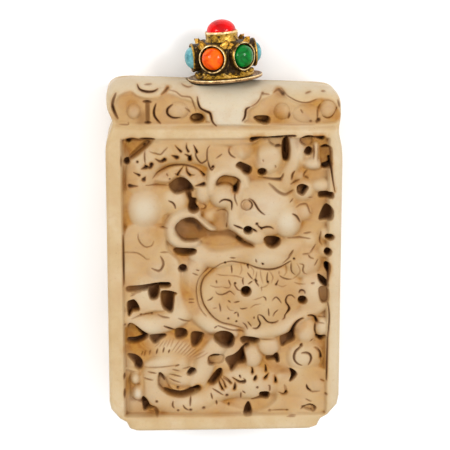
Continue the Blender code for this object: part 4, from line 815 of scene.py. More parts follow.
def cut_tail(stone):
    """Scales of the tail along the bottom, and the claw with its fan."""
    stone.cuts([(-0.3, -22.6), (0.5, -23), (1.1, -23.6)], [(-1.1, -23.1), (-0.7, -24), (0, -25)],
               [(-2.2, -24.5), (-1.2, -25.1), (-0.2, -25.8)],
               [(1.4, -22.4), (2.2, -22.9), (3.2, -23.3), (3.7, -23.3), (3.8, -22.9), (3.4, -22.5)],
               [(2.7, -22.1), (3, -22.5)], [(5.1, -20.7), (5.15, -21.7)], [(5.7, -22.1), (5.4, -22.9)],
               [(3, -25.3), (3, -26.6)], [(3.3, -25), (3.8, -25.5)], [(-2.5, -25.3), (-2.2, -26.5)],
               [(-1.5, -26.8), (-1.4, -27.7)], [(7.55, -20.4), (7.6, -21.4)], [(7.9, -22), (7.5, -22.6)],
               [(9.4, -22.5), (9.4, -23.6)], [(8, -24), (8.3, -24.2), (8.3, -25.3)],
               [(-9.4, -26.8), (-9.5, -27.6), (-9.2, -28.2)], [(-6.2, -25.9), (-6.3, -27.8)],
               [(-7.6, -27.5), (-7.2, -28.2), (-6.4, -28.7)], width=0.32, depth=0.3, dark=0.65)
    stone.cuts([(1.85, -23.6), (1.9, -24.7)], [(5.7, -22.1), (5.5, -22.8)], [(9.4, -22.8), (9.4, -23.4)],
               width=0.48, dark=0.75)
    stone.cut([(3.2, -23.2), (3.7, -23.2), (3.7, -22.8)], width=0.5, dark=0.75)
    for x, y, radius in ((0.45, -25.8, 0.35), (-3.8, -28.2, 0.38), (-6.2, -28.5, 0.35), (-8.5, -28.6, 0.28),
                         (-12.4, -26.8, 0.3), (6, -24.3, 0.28), (-8.5, -24.4, 0.3), (0.8, -27.7, 0.25),
                         (7.6, -22.4, 0.3), (5.1, -21.6, 0.25), (2.8, -22.1, 0.2)):
        stone.spot(x, y, radius, dark=0.65)
    stone.cuts([(-9.5, -20.7), (-8.2, -21.1)], [(-10.1, -21.7), (-7.8, -22.2)],
               [(-10.1, -22.6), (-9.2, -23), (-8, -23.4)], [(-7.6, -20.6), (-6, -20.6)],
               [(-9, -20.1), (-8.2, -19.8)], [(-14, -21.1), (-12.4, -21.4)], [(-14.7, -22.3), (-13, -22.7)],
               width=0.28, dark=0.5)
    stone.cut([(-11, -24.8), (-9.5, -25.5), (-7.5, -25.7), (-5.6, -25.3)], width=0.8, depth=0.8, dark=0.75)
    stone.wedge([(-7.4, -25.5), (-6, -25), (-4.9, -24.4)], head=1.3, depth=1)
    stone.cut([(-11.9, -21.6), (-11.3, -22.4), (-10.9, -23.2)], width=0.4, dark=0.7)
    stone.cut([(-2.8, -18.6), (-1.9, -18.25), (-0.8, -18.3)], width=0.75, depth=0.7, dark=0.95)
    stone.wash([(-2.9, -18.9), (-0.4, -18.7), (-0.2, -19.7), (-2.8, -19.8)], 1)
    stone.wedges([(-0.9, -22.4), (-0.2, -23.2), (0.2, -24.2)],
                 [(-1.1, -22.6), (-0.8, -23.6), (-0.4, -24.6)], [(-0.4, -22.2), (0.6, -22.8), (1.2, -23.5)],
                 head=0.3, dark=0.7)
    stone.cut([(8, -26.4), (6.6, -26.6), (5, -26.9)], width=0.5, depth=0.4, dark=0.6)
    stone.cut([(-13, -27.9), (-12.5, -28.6), (-12.3, -29.6)], width=0.8, depth=0.4, dark=0.6)
    # Painted shade: brown and ochre along the trough below the coil's edge
    stone.wash([(-5.6, -13.8), (-3, -13.9), (-1.6, -13.6), (0.5, -14.1), (1.9, -14.9), (0.2, -16.8),
                (-2.2, -15), (-4.1, -15)], 0.9, dark=0.3)
    stone.cut([(6.3, -15.3), (9.2, -15.3)], width=0.24, dark=0.25)
    stone.cut([(3.4, -16.9), (4.6, -16.2)], width=0.6, depth=0.8, dark=0.8)


def cut_lower_left(stone):
    """Hair fan over the claw, the pearl drops and the frame's foot."""
    for x, top, low in ((-15, -17.5, -18.3), (-14.5, -17.3, -18.5), (-13.6, -17.2, -18.3),
                        (-12.3, -16.9, -18), (-11.1, -16.6, -17.7), (-10.1, -17, -17.7)):
        stone.cut([(x + 0.15, top), (x - 0.1, low)], width=0.28, dark=0.7 if x > -13 else 0.35)
    stone.fan((-9.6, -17.4), (-8, -15.2), (-5.2, -19), (-3, -17.6), 9, width=0.22, depth=0.16, dark=0.28)
    stone.fan((-12.6, -16.6), (-11.6, -15.6), (-9.8, -16.6), (-9.2, -15), 5, width=0.22, depth=0.16,
              dark=0.25)
    stone.cut([(-14.6, -20.4), (-11, -20.2), (-8.2, -19.8)], width=0.26, dark=0.3)
    stone.wash([(-18.2, -16), (-13, -16.2), (-13, -18), (-15.6, -18), (-18.2, -17.6)], 0.6)
    stone.wash([(-17.4, -26.2), (-14.8, -26.2), (-12, -29.4), (-17.4, -29.2)], 0.8, dark=0.08)
    stone.wedge([(-16.9, -26.2), (-15.8, -26.8), (-14.6, -27)], head=0.9, depth=0.6, dark=0.6)
    stone.wash(oval(-16.2, -26.7, 1.4, 0.4), 0.7, dark=0.3)
    stone.cuts([(-18.2, -21.2), (-18.2, -22.4)], [(-18.2, -24.2), (-18.2, -26)], width=0.4, depth=0.4,
               dark=0.7)
    stone.trough([(-17.2, -21.4), (-17.4, -24), (-17.2, -26.4)], 0.45, 0.25, 0.5)
    stone.trough([(-14.9, -21.6), (-14.8, -24), (-14.8, -26)], 0.45, 0.2, 0.5)
    stone.wash([(-15.2, -20.6), (-13, -20.2), (-12.4, -21.6), (-14.6, -21.8)], 0.4)
    stone.trough([(-12, -29.4), (-4, -29.6), (3.4, -29.6)], 0.6, 0.1, 0.5)


# Header

def shape_header(stone):
    line = DRAWN_LENGTH / 2 - DRAWN_RISE - HEADER_HEIGHT / MM
    stone.trough([(-22, line + 0.1), (22, line - 0.3)], 0.7, 0.5, 0.35)
    stone.cut([(8, 24.3), (16, 24.25)], width=0.3, depth=0.1, dark=0.25)
    left = [(-19, 25), (-18.8, 29), (-16.5, 30), (-15, 29.2), (-12, 28.9), (-9.8, 29.8), (-7.6, 29),
            (-5.6, 28.4), (-4.9, 27.5), (-3.6, 26.6), (-3.2, 25.2), (-4, 24.6)]
    right = [(19.4, 24.6), (19.6, 28), (17, 28.8), (14, 28), (11.4, 28.8), (9.6, 29.8), (8, 29.2),
             (6.6, 28.6), (5.4, 27.6), (4.3, 26.9), (4.1, 25.4), (4.6, 24.6)]
    for outline in (left, right):
        stone.sunk(outline, -0.75, wall=0.9, ochre=0.6)
    stone.dome(-15.9, 26.8, 1.2, 1.35, -0.05, drop=0.8, pale=0.8)
    stone.dome(-8.2, 26.9, 1.9, 1.5, -0.05, drop=0.8, pale=0.2)
    stone.dome(10.2, 26.6, 1.4, 1.4, -0.05, drop=0.8, pale=0.4)
    stone.dome(18.3, 27, 1.5, 1.5, -0.05, drop=0.8, pale=0.5)
    stone.dome(14.6, 26.2, 2.6, 1.6, -0.25, drop=0.5)
    # Painted highlight: the header pales towards its top, which faces up
    stone.whiten(slice(None), 0.55 * ease((stone.y - 28.5) / 2))
    shield = [(-4.7, 31.5), (-4.6, 28.2), (-4.2, 27.3), (-3.3, 26.8), (-2.4, 26.3), (-2.2, 25.1),
              (-1.4, 24.1), (2.9, 24.3), (3.5, 25.6), (3.8, 27.1), (5.5, 28), (6.6, 29.9), (7, 31.5)]
    where, depth = stone.depth_in(shield, 0.6)
    stone.whiten(where, 0.9 * ease((depth + 0.4) / 0.8))


def cut_header(stone):
    stone.cut([(-19, 30), (-19.5, 28.7), (-19.6, 27.7), (-19.2, 26.5), (-18.7, 25.5)], width=0.55,
              depth=0.45, dark=0.75)
    stone.cuts([(-12, 28.1), (-12.35, 27), (-12.3, 26), (-11.8, 25.2), (-11.2, 24.6)],
               [(-9.1, 28), (-9.9, 27.3), (-10.05, 26.5), (-9.6, 25.9), (-8.8, 25.6), (-7.7, 25.7)],
               [(-15.3, 31.3), (-14.8, 30.5), (-13.6, 30.15), (-12.4, 30.2), (-11.6, 30.6)],
               [(-4.75, 29.3), (-4.6, 28.2), (-4.2, 27.3), (-3.3, 26.8), (-2.6, 26.5), (-2.35, 25.8),
                (-2.2, 25.1), (-1.9, 24.6), (-1.4, 24.1)],
               [(4.5, 27.5), (3.8, 27.1), (3.65, 26.2), (3.5, 25.6), (3.1, 25)], width=0.42, depth=0.4,
               dark=0.95)
    stone.cuts([(-14.3, 28.5), (-12.8, 28.4)], [(-14.1, 24.8), (-12.9, 24.8)], width=0.5, depth=0.4,
               dark=0.8)
    stone.cut([(-13.5, 28.3), (-13.5, 25.2)], width=0.75, depth=0.5, dark=0.5, ends=0.9)
    stone.cuts([(-18.5, 24.6), (-17, 24.5), (-16.9, 24.9)],
               [(-9.8, 30.4), (-8.5, 30.1), (-7.5, 29.4), (-6, 29.2), (-5.5, 28.3), (-5, 26.7)],
               [(-10.1, 30.8), (-10.3, 30.4), (-11.1, 29.7)],
               [(-7.5, 31.3), (-7, 31), (-6.2, 30.8), (-5.5, 31)], [(-14, 31.2), (-12.7, 31.3)],
               [(6.6, 29.9), (6.3, 28.9), (5.5, 28), (4.5, 27.5)], [(6.6, 29.7), (8, 29.5)],
               [(9.6, 30.2), (10.2, 30.4), (10.8, 29.6), (11.6, 29), (12.8, 28.4), (14.1, 28.1),
                (15.3, 28.2), (16.3, 28.6)], [(14.3, 29.6), (15.4, 29.9)], [(17.2, 29.9), (18, 29.9)],
               [(13.4, 27), (13.8, 26.3)], [(16.4, 25), (16.4, 26), (16.5, 27), (17, 27.9)],
               [(17.4, 25.7), (18.3, 25.4), (19.2, 26), (19.9, 27.3)],
               [(-6.9, 27.4), (-6.4, 27), (-6, 26.5)], width=0.3, dark=0.45)
    stone.cut([(11.4, 26.5), (11.4, 25.8), (11.2, 25.3)], width=0.42, dark=0.55)
    stone.cut([(20.1, 28.5), (20.4, 27.2)], width=0.45, dark=0.6)
    for x, y in ((15.2, 24.9), (16.3, 24.8), (9.7, 30.2), (6.8, 29.7)):
        stone.spot(x, y, 0.3, 0.2, 0.55)
    stone.sunk(oval(-4.8, 25.5, 1.2, 0.75), RECESS - 0.8, ochre=0.8, slope=(-0.4, -0.3))
    stone.sunk([(5.2, 25.5), (6, 25.8), (7.6, 25.7), (8, 25.1), (7.5, 24.5), (6.2, 24.7)], RECESS - 0.8,
               ochre=0.8, slope=(-0.3, 0.3))
    stone.wash([(-15, 26.4), (-13.9, 26.6), (-13.9, 24.7), (-15.4, 24.7)], 0.8, dark=0.3)
    stone.trough([(-17.4, 26.6), (-16.9, 28.2), (-15.6, 28.5), (-14.7, 27.8)], 0.7, 0.2, 0.85)
    stone.trough([(-18.6, 29.3), (-16.6, 30.1), (-15.4, 29.4), (-13.6, 28.9), (-11.4, 29.2), (-9.9, 29.8)],
                 0.6, 0.15, 0.7)
    stone.wedge([(-11, 29.6), (-10.4, 30.1), (-9.9, 30.7)], head=0.45, depth=0.3, dark=0.7)
    stone.wedge([(8.8, 29.8), (9.6, 30.2), (10.4, 29.6)], head=0.9, depth=0.4, dark=0.75)
    stone.wash([(9, 29.8), (10.6, 29.9), (11, 28.8), (9.8, 28.8)], 0.9, dark=0.15)
    stone.trough([(9.2, 25.4), (8.7, 26.6), (9.4, 27.9), (10.8, 28)], 0.5, 0.15, 0.6)
    stone.trough([(16.5, 25.2), (16.7, 27), (17.2, 28.2)], 0.7, 0.2, 0.9)
    stone.spot(16.6, 25.1, 0.45, 0.3, 0.75)
    stone.wash([(4.6, 28), (6.6, 29), (8.4, 28), (8, 26.4), (5.4, 26.6)], 0.55)
    stone.wash([(-19, 25.2), (-17.6, 25.2), (-17.6, 24.4), (-19, 24.4)], 0.5)
    stone.wash([(-16.5, 30), (-15, 29), (-12, 28.8), (-12.6, 28.2), (-16.8, 28.8)], 0.4)


# Colour that follows the relief: stain, painted shade and painted highlight

# Depths are in millimetres, blurs in raster steps, and each colour grows over its blend
STAIN_AND_SHADE_GAIN = 1.2
PLUM_START, PLUM_BLEND, PLUM_SHARE = 2.5, 0.5, 0.8
DARK_START, DARK_BLEND = 2.7, 1.3
CREVICE_BLUR, CREVICE_START, CREVICE_BLEND, CREVICE_SHARE = 2.2, 0.04, 0.26, 0.7
HOLLOW_BLUR, WIDE_BLUR, WIDE_SHARE = 6, 14, 0.8
HOLLOW_BLEND, HOLLOW_OCHRE = 0.45, 0.95
LOW_START, LOW_BLEND, LOW_OCHRE = 0.4, 1.0, 0.72
CREST_BLUR, CREST_START, CREST_BLEND, CREST_SHARE = 16, 0.05, 0.45, 0.5
WINDOW_OCHRE, PALE_RESISTS = 0.42, 0.8
# Painted light on the right stile
RIGHT_STILE, RIGHT_STILE_TOP, RIGHT_STILE_PAINTED_LIGHT = 18.6, 24.5, 0.55
MOTTLE_LENGTH, MOTTLE_SHARE = 7, 0.25


def settle_stain_and_shade(stone):
    """Deep spots and crevices darken, hollows turn ochre and high spots pale: the stain of the cuts, with
    painted shade in the hollows and a painted highlight on the crests.
    """
    height = stone.height
    stone.dark = np.clip(STAIN_AND_SHADE_GAIN * stone.dark, 0, 1)
    # Painted shade: the deepest floors take a dim plum colour
    stone.plum = np.maximum(stone.plum, PLUM_SHARE * ease((-height - PLUM_START) / PLUM_BLEND))
    # Painted shade: darker with depth, darkest in the pits
    stone.dark = np.maximum(stone.dark, ease((-height - DARK_START) / DARK_BLEND))
    # Painted shade in crevices and creases, which also deepens the stain of the cuts
    crevice = blurred(height, CREVICE_BLUR) - height
    stone.dark = np.maximum(stone.dark, CREVICE_SHARE * ease((crevice - CREVICE_START) / CREVICE_BLEND))
    in_window = ease((np.minimum(stone.x - WINDOW_LEFT, WINDOW_RIGHT - stone.x) + 0.2) / 0.4)
    in_window *= ease((np.minimum(stone.y - WINDOW_BOTTOM, WINDOW_TOP - stone.y) + 0.2) / 0.4)
    # Ochre in hollows and on low ground: stain and painted shade
    hollow = np.maximum(blurred(height, HOLLOW_BLUR) - height,
                        WIDE_SHARE * (blurred(height, WIDE_BLUR) - height))
    low = in_window * ease((-height - LOW_START) / LOW_BLEND)
    stain_and_shade_ochre = np.maximum(HOLLOW_OCHRE * ease(hollow / HOLLOW_BLEND), LOW_OCHRE * low)
    stone.ochre = np.maximum(stone.ochre, stain_and_shade_ochre)
    # Paler crests: polish and painted highlight
    crest = height - blurred(height, CREST_BLUR)
    stone.whiten(slice(None), CREST_SHARE * ease((crest - CREST_START) / CREST_BLEND) * in_window)
    stone.ochre = np.maximum(stone.ochre, WINDOW_OCHRE * in_window * (1 - PALE_RESISTS * stone.pale))
    # Painted light: the right stile pales where the stronger light from the right falls
    right_stile_painted_light = ease((stone.x - RIGHT_STILE) / 1.2) * ease((RIGHT_STILE_TOP - stone.y) / 2)
    stone.whiten(slice(None), RIGHT_STILE_PAINTED_LIGHT * right_stile_painted_light)
    mottle = 1 + MOTTLE_SHARE * waves(stone.x, stone.y, MOTTLE_LENGTH)
    stone.ochre = np.clip(blurred(stone.ochre, 1.2) * mottle, 0, 1)
    stone.pale = blurred(stone.pale, 2.0)
    stone.plum = blurred(stone.plum, 1.2)


def carve():
    stone = Carving()
    carve_window(stone)
    for shape in (shape_upper_body, shape_upper_right, shape_main_coil, shape_left_clouds, shape_lower_field,
                  shape_head):
        shape(stone)
    stone.height = blurred(stone.height, 1.6)
    shape_header(stone)
    sink_recesses(stone)
    sink_pits(stone)
    for fine in (cut_upper_body, cut_upper_right, cut_head, cut_left_clouds, cut_leg, cut_main_coil,
                 cut_right_edge, cut_lower_right, cut_tail, cut_lower_left, cut_header):
        fine(stone)
    stone.height += 0.035 * waves(stone.x, stone.y, 9) + 0.012 * waves(stone.x, stone.y, 2.2)
    settle_stain_and_shade(stone)
    return stone


def sampled(stone, field, x, y):
    """Values of a raster field at points in metres."""
    column = (x / PLAQUE_WIDTH * DRAWN_WIDTH - stone.xs[0]) / DRAWN_STEP
    row = (y / PLAQUE_LENGTH * DRAWN_LENGTH - DRAWN_RISE - stone.ys[0]) / DRAWN_STEP
    column = np.clip(column, 0, len(stone.xs) - 1.001)
    row = np.clip(row, 0, len(stone.ys) - 1.001)
    i, j = row.astype(int), column.astype(int)
    v, u = row - i, column - j
    return ((field[i, j] * (1 - u) + field[i, j + 1] * u) * (1 - v)
            + (field[i + 1, j] * (1 - u) + field[i + 1, j + 1] * u) * v)


# Stone block

def side_distance(y, side_top, waist_depth, notch):
    """Distance of one side of the block from its middle line at heights y."""
    waist = side_top - HEADER_HEIGHT
    above = ease((y - waist) / (HEADER_HEIGHT / 2))
    reach = np.where(y > waist, WAIST_LENGTH, WAIST_LENGTH * 1.5)
    distance = PLAQUE_WIDTH / 2 - HEADER_INSET * above
    distance = distance - waist_depth * np.exp(-((y - waist) / reach) ** 2)
    rise = (y + PLAQUE_LENGTH / 2) / notch
    distance = distance - notch * np.interp(rise, NOTCH_RISE_SHARES, NOTCH_INSET_SHARES)
    corner = np.clip((y - (side_top - TOP_CORNER_RADIUS)) / TOP_CORNER_RADIUS, 0, 1)
    return distance - TOP_CORNER_RADIUS * (1 - np.sqrt(1 - corner ** 2))


def spread(count):
    """Shares from 0 to 1 that stand closer together at the two ends."""
    fine = np.linspace(0, 1, 4001)
    density = 1 + EDGE_CROWD * (np.exp(-fine / EDGE_REACH) + np.exp(-(1 - fine) / EDGE_REACH))
    total = np.concatenate(([0], np.cumsum((density[1:] + density[:-1]) / 2)))
    return np.interp(np.linspace(0, total[-1], count), total, fine)


def sheet_points():
    """The block's plan as rows of points that follow its outline."""
    across, along = spread(SHEET_COLUMNS), spread(SHEET_ROWS)
    bottom = -PLAQUE_LENGTH / 2
    top_left = PLAQUE_LENGTH / 2 + TOP_EDGE_FALL / 2
    top_right = PLAQUE_LENGTH / 2 - TOP_EDGE_FALL / 2
    y_left = bottom + along * (top_left - bottom)
    y_right = bottom + along * (top_right - bottom)
    x_left = -side_distance(y_left, top_left, WAIST_DEPTH_LEFT, CORNER_NOTCH_LEFT)
    x_right = side_distance(y_right, top_right, WAIST_DEPTH_RIGHT, CORNER_NOTCH_RIGHT)
    x = x_left[:, None] + (x_right - x_left)[:, None] * across[None, :]
    slant = (x + PLAQUE_WIDTH / 2) / PLAQUE_WIDTH
    y = bottom + along[:, None] * (top_left - bottom - TOP_EDGE_FALL * slant)
    return x, y, x - x_left[:, None], x_right[:, None] - x, y - bottom


def edge_drop(x, y, from_left, from_right, from_bottom):
    """How far the face falls back towards the block's edges."""
    top = PLAQUE_LENGTH / 2 - TOP_EDGE_FALL * x / PLAQUE_WIDTH
    from_side = np.minimum(from_left, from_right)
    in_header = ease((y - (top - HEADER_HEIGHT)) / (HEADER_HEIGHT / 3))
    side_reach = EDGE_RADIUS + (HEADER_END_REACH - EDGE_RADIUS) * in_header
    header_drop = PLAQUE_THICKNESS / 2 - FIT_GAP * 2
    side = np.clip(1 - from_side / side_reach, 0, 1)
    end = np.clip(1 - (top - y) / HEADER_ROUND_REACH, 0, 1)
    foot = np.clip(1 - from_bottom / EDGE_RADIUS, 0, 1)
    header = header_drop * (1 - np.sqrt(1 - end ** 2))
    edge = side_reach * (1 - np.sqrt(1 - np.clip(np.hypot(side, foot), 0, 1) ** 2))
    return np.minimum(header + edge, header_drop)


def grooved_back(y, from_left, from_right, from_bottom):
    header_line = PLAQUE_LENGTH / 2 - HEADER_HEIGHT
    inset = np.minimum(np.minimum(from_left, from_right), np.minimum(from_bottom, header_line - y))
    gap = np.minimum(np.abs(inset - BACK_GROOVE_INSET), np.abs(y - header_line))
    return BACK_GROOVE_DEPTH * (1 - ease(gap / (BACK_GROOVE_WIDTH / 2)))


def grid_faces(rows, columns, first, turned):
    """Quads of a grid of vertices whose first index is given."""
    corner = first + np.arange(rows - 1)[:, None] * columns + np.arange(columns - 1)[None, :]
    faces = np.stack([corner, corner + 1, corner + columns + 1, corner + columns], -1).reshape(-1, 4)
    return faces[:, ::-1] if turned else faces


def rim_indices(rows, columns):
    """The grid's outer vertices in order round it."""
    index = np.arange(rows * columns).reshape(rows, columns)
    return np.concatenate([index[0, :-1], index[:-1, -1], index[-1, :0:-1], index[:0:-1, 0]])


def stone_mesh(stone):
    x, y, from_left, from_right, from_bottom = sheet_points()
    drop = edge_drop(x, y, from_left, from_right, from_bottom)
    relief = sampled(stone, stone.height, x, y) * MM
    relief *= ease(np.minimum(np.minimum(from_left, from_right), from_bottom) / RELIEF_FADE)
    front = np.minimum(PLAQUE_THICKNESS - drop + relief, STONE_HIGH.z)
    back = drop + grooved_back(y, from_left, from_right, from_bottom)
    rows, columns = x.shape
    count = rows * columns
    points = np.concatenate([np.stack([x, y, face], -1).reshape(-1, 3) for face in (front, back)])
    rim = rim_indices(rows, columns)
    following = np.roll(rim, -1)
    walls = np.stack([rim, rim + count, following + count, following], -1)
    faces = np.concatenate([grid_faces(rows, columns, 0, False),
                            grid_faces(rows, columns, count, True), walls])
    mesh = bpy.data.meshes.new("carved_stone")
    mesh.from_pydata(points.tolist(), [], faces.tolist())
    mesh.update()
    return mesh


def thinned(thing, carving, triangles):
    """Collapses a mesh to about the given number of triangles, sparing the edges of the dark marks, stain
    and painted shade alike.
    """
    detail = np.hypot(*np.gradient(carving.dark)) + 0.5 * np.hypot(*np.gradient(carving.height))
    detail = blurred(ease((detail - 0.04) / 0.12), 0.8)
    places = vertex_places(thing.data)
    spared = sampled(carving, detail, places[:, 0], places[:, 1]) * (places[:, 2] > PLAQUE_THICKNESS / 2)
    group = thing.vertex_groups.new(name="Free")
    levels = np.round((1 - spared) * CARE_LEVELS).astype(int)
    for level in range(1, CARE_LEVELS + 1):
        group.add(np.flatnonzero(levels == level).tolist(), level / CARE_LEVELS, "REPLACE")
    group.add(np.flatnonzero(levels == 0).tolist(), LEAST_WEIGHT, "REPLACE")
    collapse = thing.modifiers.new("Thin", "DECIMATE")
    collapse.ratio = triangles / (2 * len(thing.data.polygons))
    collapse.vertex_group = "Free"
    collapse.vertex_group_factor = STROKE_CARE


def applied(thing):
    """The object's mesh with its modifiers applied."""
    shown = thing.evaluated_get(bpy.context.evaluated_depsgraph_get())
    mesh = bpy.data.meshes.new_from_object(shown)
    thing.modifiers.clear()
    old = thing.data
    thing.data = mesh
    bpy.data.meshes.remove(old)
    return mesh


def paint_stone(stone, mesh):
    """Puts the dark, ochre, pale and plum shares, which hold stain, painted shade and painted highlight, on
    the front face's vertices.
    """
    places = vertex_places(mesh)
    in_front = ease((places[:, 2] / PLAQUE_THICKNESS - PAINT_START) / PAINT_BLEND)
    shares = np.zeros((len(places), 4), np.float32)
    for channel, field in enumerate((stone.dark, stone.ochre, stone.pale, stone.plum)):
        shares[:, channel] = sampled(stone, field, places[:, 0], places[:, 1]) * in_front
    layer = mesh.color_attributes.new("carving_colour", "FLOAT_COLOR", "POINT")
    layer.data.foreach_set("color", shares.ravel())


# Materials

class Nodes:
    """Short ways to add nodes to a material's tree."""

    def __init__(self, name):
        self.material = bpy.data.materials.new(name)
        self.material.use_nodes = True
        self.tree = self.material.node_tree
        self.shader = self.tree.nodes["Principled BSDF"]
        self.place = self.add("ShaderNodeTexCoord")

    def add(self, kind, **values):
        node = self.tree.nodes.new(kind)
        for key, value in values.items():
            setattr(node, key, value)
        return node

    def link(self, output, target):
        self.tree.links.new(output, target)

    def feed(self, value, socket):
        """Links an output to the socket, or sets the socket to a plain value."""
        if hasattr(value, "is_output"):
            self.link(value, socket)
        else:
            socket.default_value = value

    def set(self, **values):
        for key, value in values.items():
            self.shader.inputs[key.replace("_", " ")].default_value = value

    def noise(self, scale, detail=4.0, roughness=0.55, distortion=0.0):
        node = self.add("ShaderNodeTexNoise")
        node.inputs["Scale"].default_value = scale
        node.inputs["Detail"].default_value = detail
        node.inputs["Roughness"].default_value = roughness
        node.inputs["Distortion"].default_value = distortion
        self.link(self.place.outputs["Object"], node.inputs["Vector"])
        return node.outputs["Fac"]

    def ramp(self, source, *stops):
        node = self.add("ShaderNodeValToRGB")
        band = node.color_ramp
        while len(band.elements) < len(stops):
            band.elements.new(0.5)
        for element, (position, colour) in zip(band.elements, stops):
            element.position = position
            element.color = colour
        self.link(source, node.inputs["Fac"])
        return node.outputs["Color"]

    def mixed(self, share, first, second, blend="MIX"):
        node = self.add("ShaderNodeMix", data_type="RGBA", blend_type=blend)
        self.feed(share, node.inputs["Factor"])
        self.feed(first, node.inputs[6])
        self.feed(second, node.inputs[7])
        return node.outputs[2]

    def math(self, operation, first, second, clamp=False):
        node = self.add("ShaderNodeMath", operation=operation, use_clamp=clamp)
        self.feed(first, node.inputs[0])
        self.feed(second, node.inputs[1])
        return node.outputs[0]

    def range(self, source, low, high, to_low=0.0, to_high=1.0):
        node = self.add("ShaderNodeMapRange")
        for key, value in (("From Min", low), ("From Max", high), ("To Min", to_low), ("To Max", to_high)):
            node.inputs[key].default_value = value
        self.link(source, node.inputs["Value"])
        return node.outputs["Result"]

    def bump(self, source, strength, distance):
        node = self.add("ShaderNodeBump")
        node.inputs["Strength"].default_value = strength
        node.inputs["Distance"].default_value = distance
        self.link(source, node.inputs["Height"])
        self.link(node.outputs["Normal"], self.shader.inputs["Normal"])


# The strong light needs a base colour darker than the stone looks
STONE_SHADE = 0.67
GILT_SHADES = (
    ("worn_gilt", (190, 146, 84), (232, 200, 140), (250, 232, 190), 0.15),
    ("stained_gilt", (122, 88, 22), (168, 126, 38), (222, 180, 96), 0.22),
    ("dark_patina", (84, 62, 18), (140, 104, 40), (214, 176, 100), 0.75),
    ("leaf_gilt", (160, 106, 22), (204, 146, 42), (236, 192, 100), 0.25),
    ("lip_gilt", (128, 92, 56), (166, 126, 84), (214, 176, 128), 0.15),
)
CABOCHON_SHADES = {
    "red": ((216, 0, 2), (236, 8, 8), (150, 0, 4), 200, 0.1),
    "orange": ((238, 92, 0), (252, 120, 0), (196, 50, 0), 300, 0.1),
    "green": ((0, 112, 36), (4, 138, 52), (0, 72, 20), 400, 0.1),
    "turquoise": ((96, 160, 168), (140, 190, 192), (60, 120, 128), 600, 0.2),
}


def soapstone_material():
    nodes = Nodes("soapstone")
    paint = nodes.add("ShaderNodeAttribute", attribute_name="carving_colour")
    parts = nodes.add("ShaderNodeSeparateColor")
    nodes.link(paint.outputs["Color"], parts.inputs["Color"])
    dark, ochre, pale = (parts.outputs[i] for i in range(3))
    plum = paint.outputs["Alpha"]
    cloudy = nodes.noise(130, 4, 0.55, 0.5)
    veins = nodes.noise(420, 6, 0.65, 1.4)
    grain = nodes.noise(2600, 4, 0.6)
    base = nodes.ramp(cloudy, (0.3, linear(216, 183, 134)), (0.5, linear(224, 195, 150)),
                      (0.7, linear(232, 208, 170)))
    base = nodes.mixed(nodes.range(veins, 0.5, 0.75, 0, 0.3), base, linear(206, 166, 110))
    # Pale share: polish and painted highlight
    base = nodes.mixed(nodes.math("MULTIPLY", pale, 0.8), base, linear(232, 219, 194))
    # Ochre share: stain and painted shade
    ochre_share = nodes.math("MULTIPLY", ochre, nodes.range(cloudy, 0.3, 0.7, 0.8, 1.05), True)
    tint = nodes.ramp(veins, (0.35, linear(178, 114, 40)), (0.65, linear(202, 146, 64)))
    base = nodes.mixed(ochre_share, base, tint)
    # Plum share: painted shade on the deepest floors
    plum_tint = nodes.ramp(veins, (0.3, linear(112, 68, 36)), (0.7, linear(148, 104, 72)))
    base = nodes.mixed(nodes.math("MULTIPLY", plum, 0.85), base, plum_tint)
    # Dark share: stain of the cuts and painted shade in deep holes and crevices
    dark_share = nodes.math("MULTIPLY", dark, nodes.range(veins, 0.3, 0.7, 0.92, 1.12), True)
    stain_and_shade = nodes.ramp(dark_share, (0.0, linear(158, 94, 36)), (0.5, linear(116, 64, 22)),
                       (1.0, linear(66, 36, 14)))
    base = nodes.mixed(nodes.math("POWER", dark_share, 0.8), base, stain_and_shade)
    base = nodes.mixed(nodes.range(grain, 0.6, 0.76, 0, 0.3), base, linear(172, 128, 76))
    blush = nodes.noise(240, 5, 0.6, 0.4)
    base = nodes.mixed(nodes.range(blush, 0.5, 0.7, 0, 0.22), base, linear(208, 160, 116))
    base = nodes.mixed(1.0, base, (STONE_SHADE, STONE_SHADE, STONE_SHADE, 1.0), "MULTIPLY")
    nodes.link(base, nodes.shader.inputs["Base Color"])
    roughness = nodes.math("ADD", nodes.range(grain, 0.3, 0.7, 0.32, 0.44),
                           nodes.math("MULTIPLY", dark, 0.3))
    nodes.link(roughness, nodes.shader.inputs["Roughness"])
    nodes.set(Subsurface_Weight=0.15, Subsurface_Scale=0.0012, IOR=1.5)
    nodes.shader.inputs["Specular IOR Level"].default_value = 0.1
    nodes.shader.inputs["Subsurface Radius"].default_value = (1.0, 0.6, 0.3)
    nodes.bump(nodes.noise(900, 5, 0.6), 0.1, 0.0001)
    return nodes.material


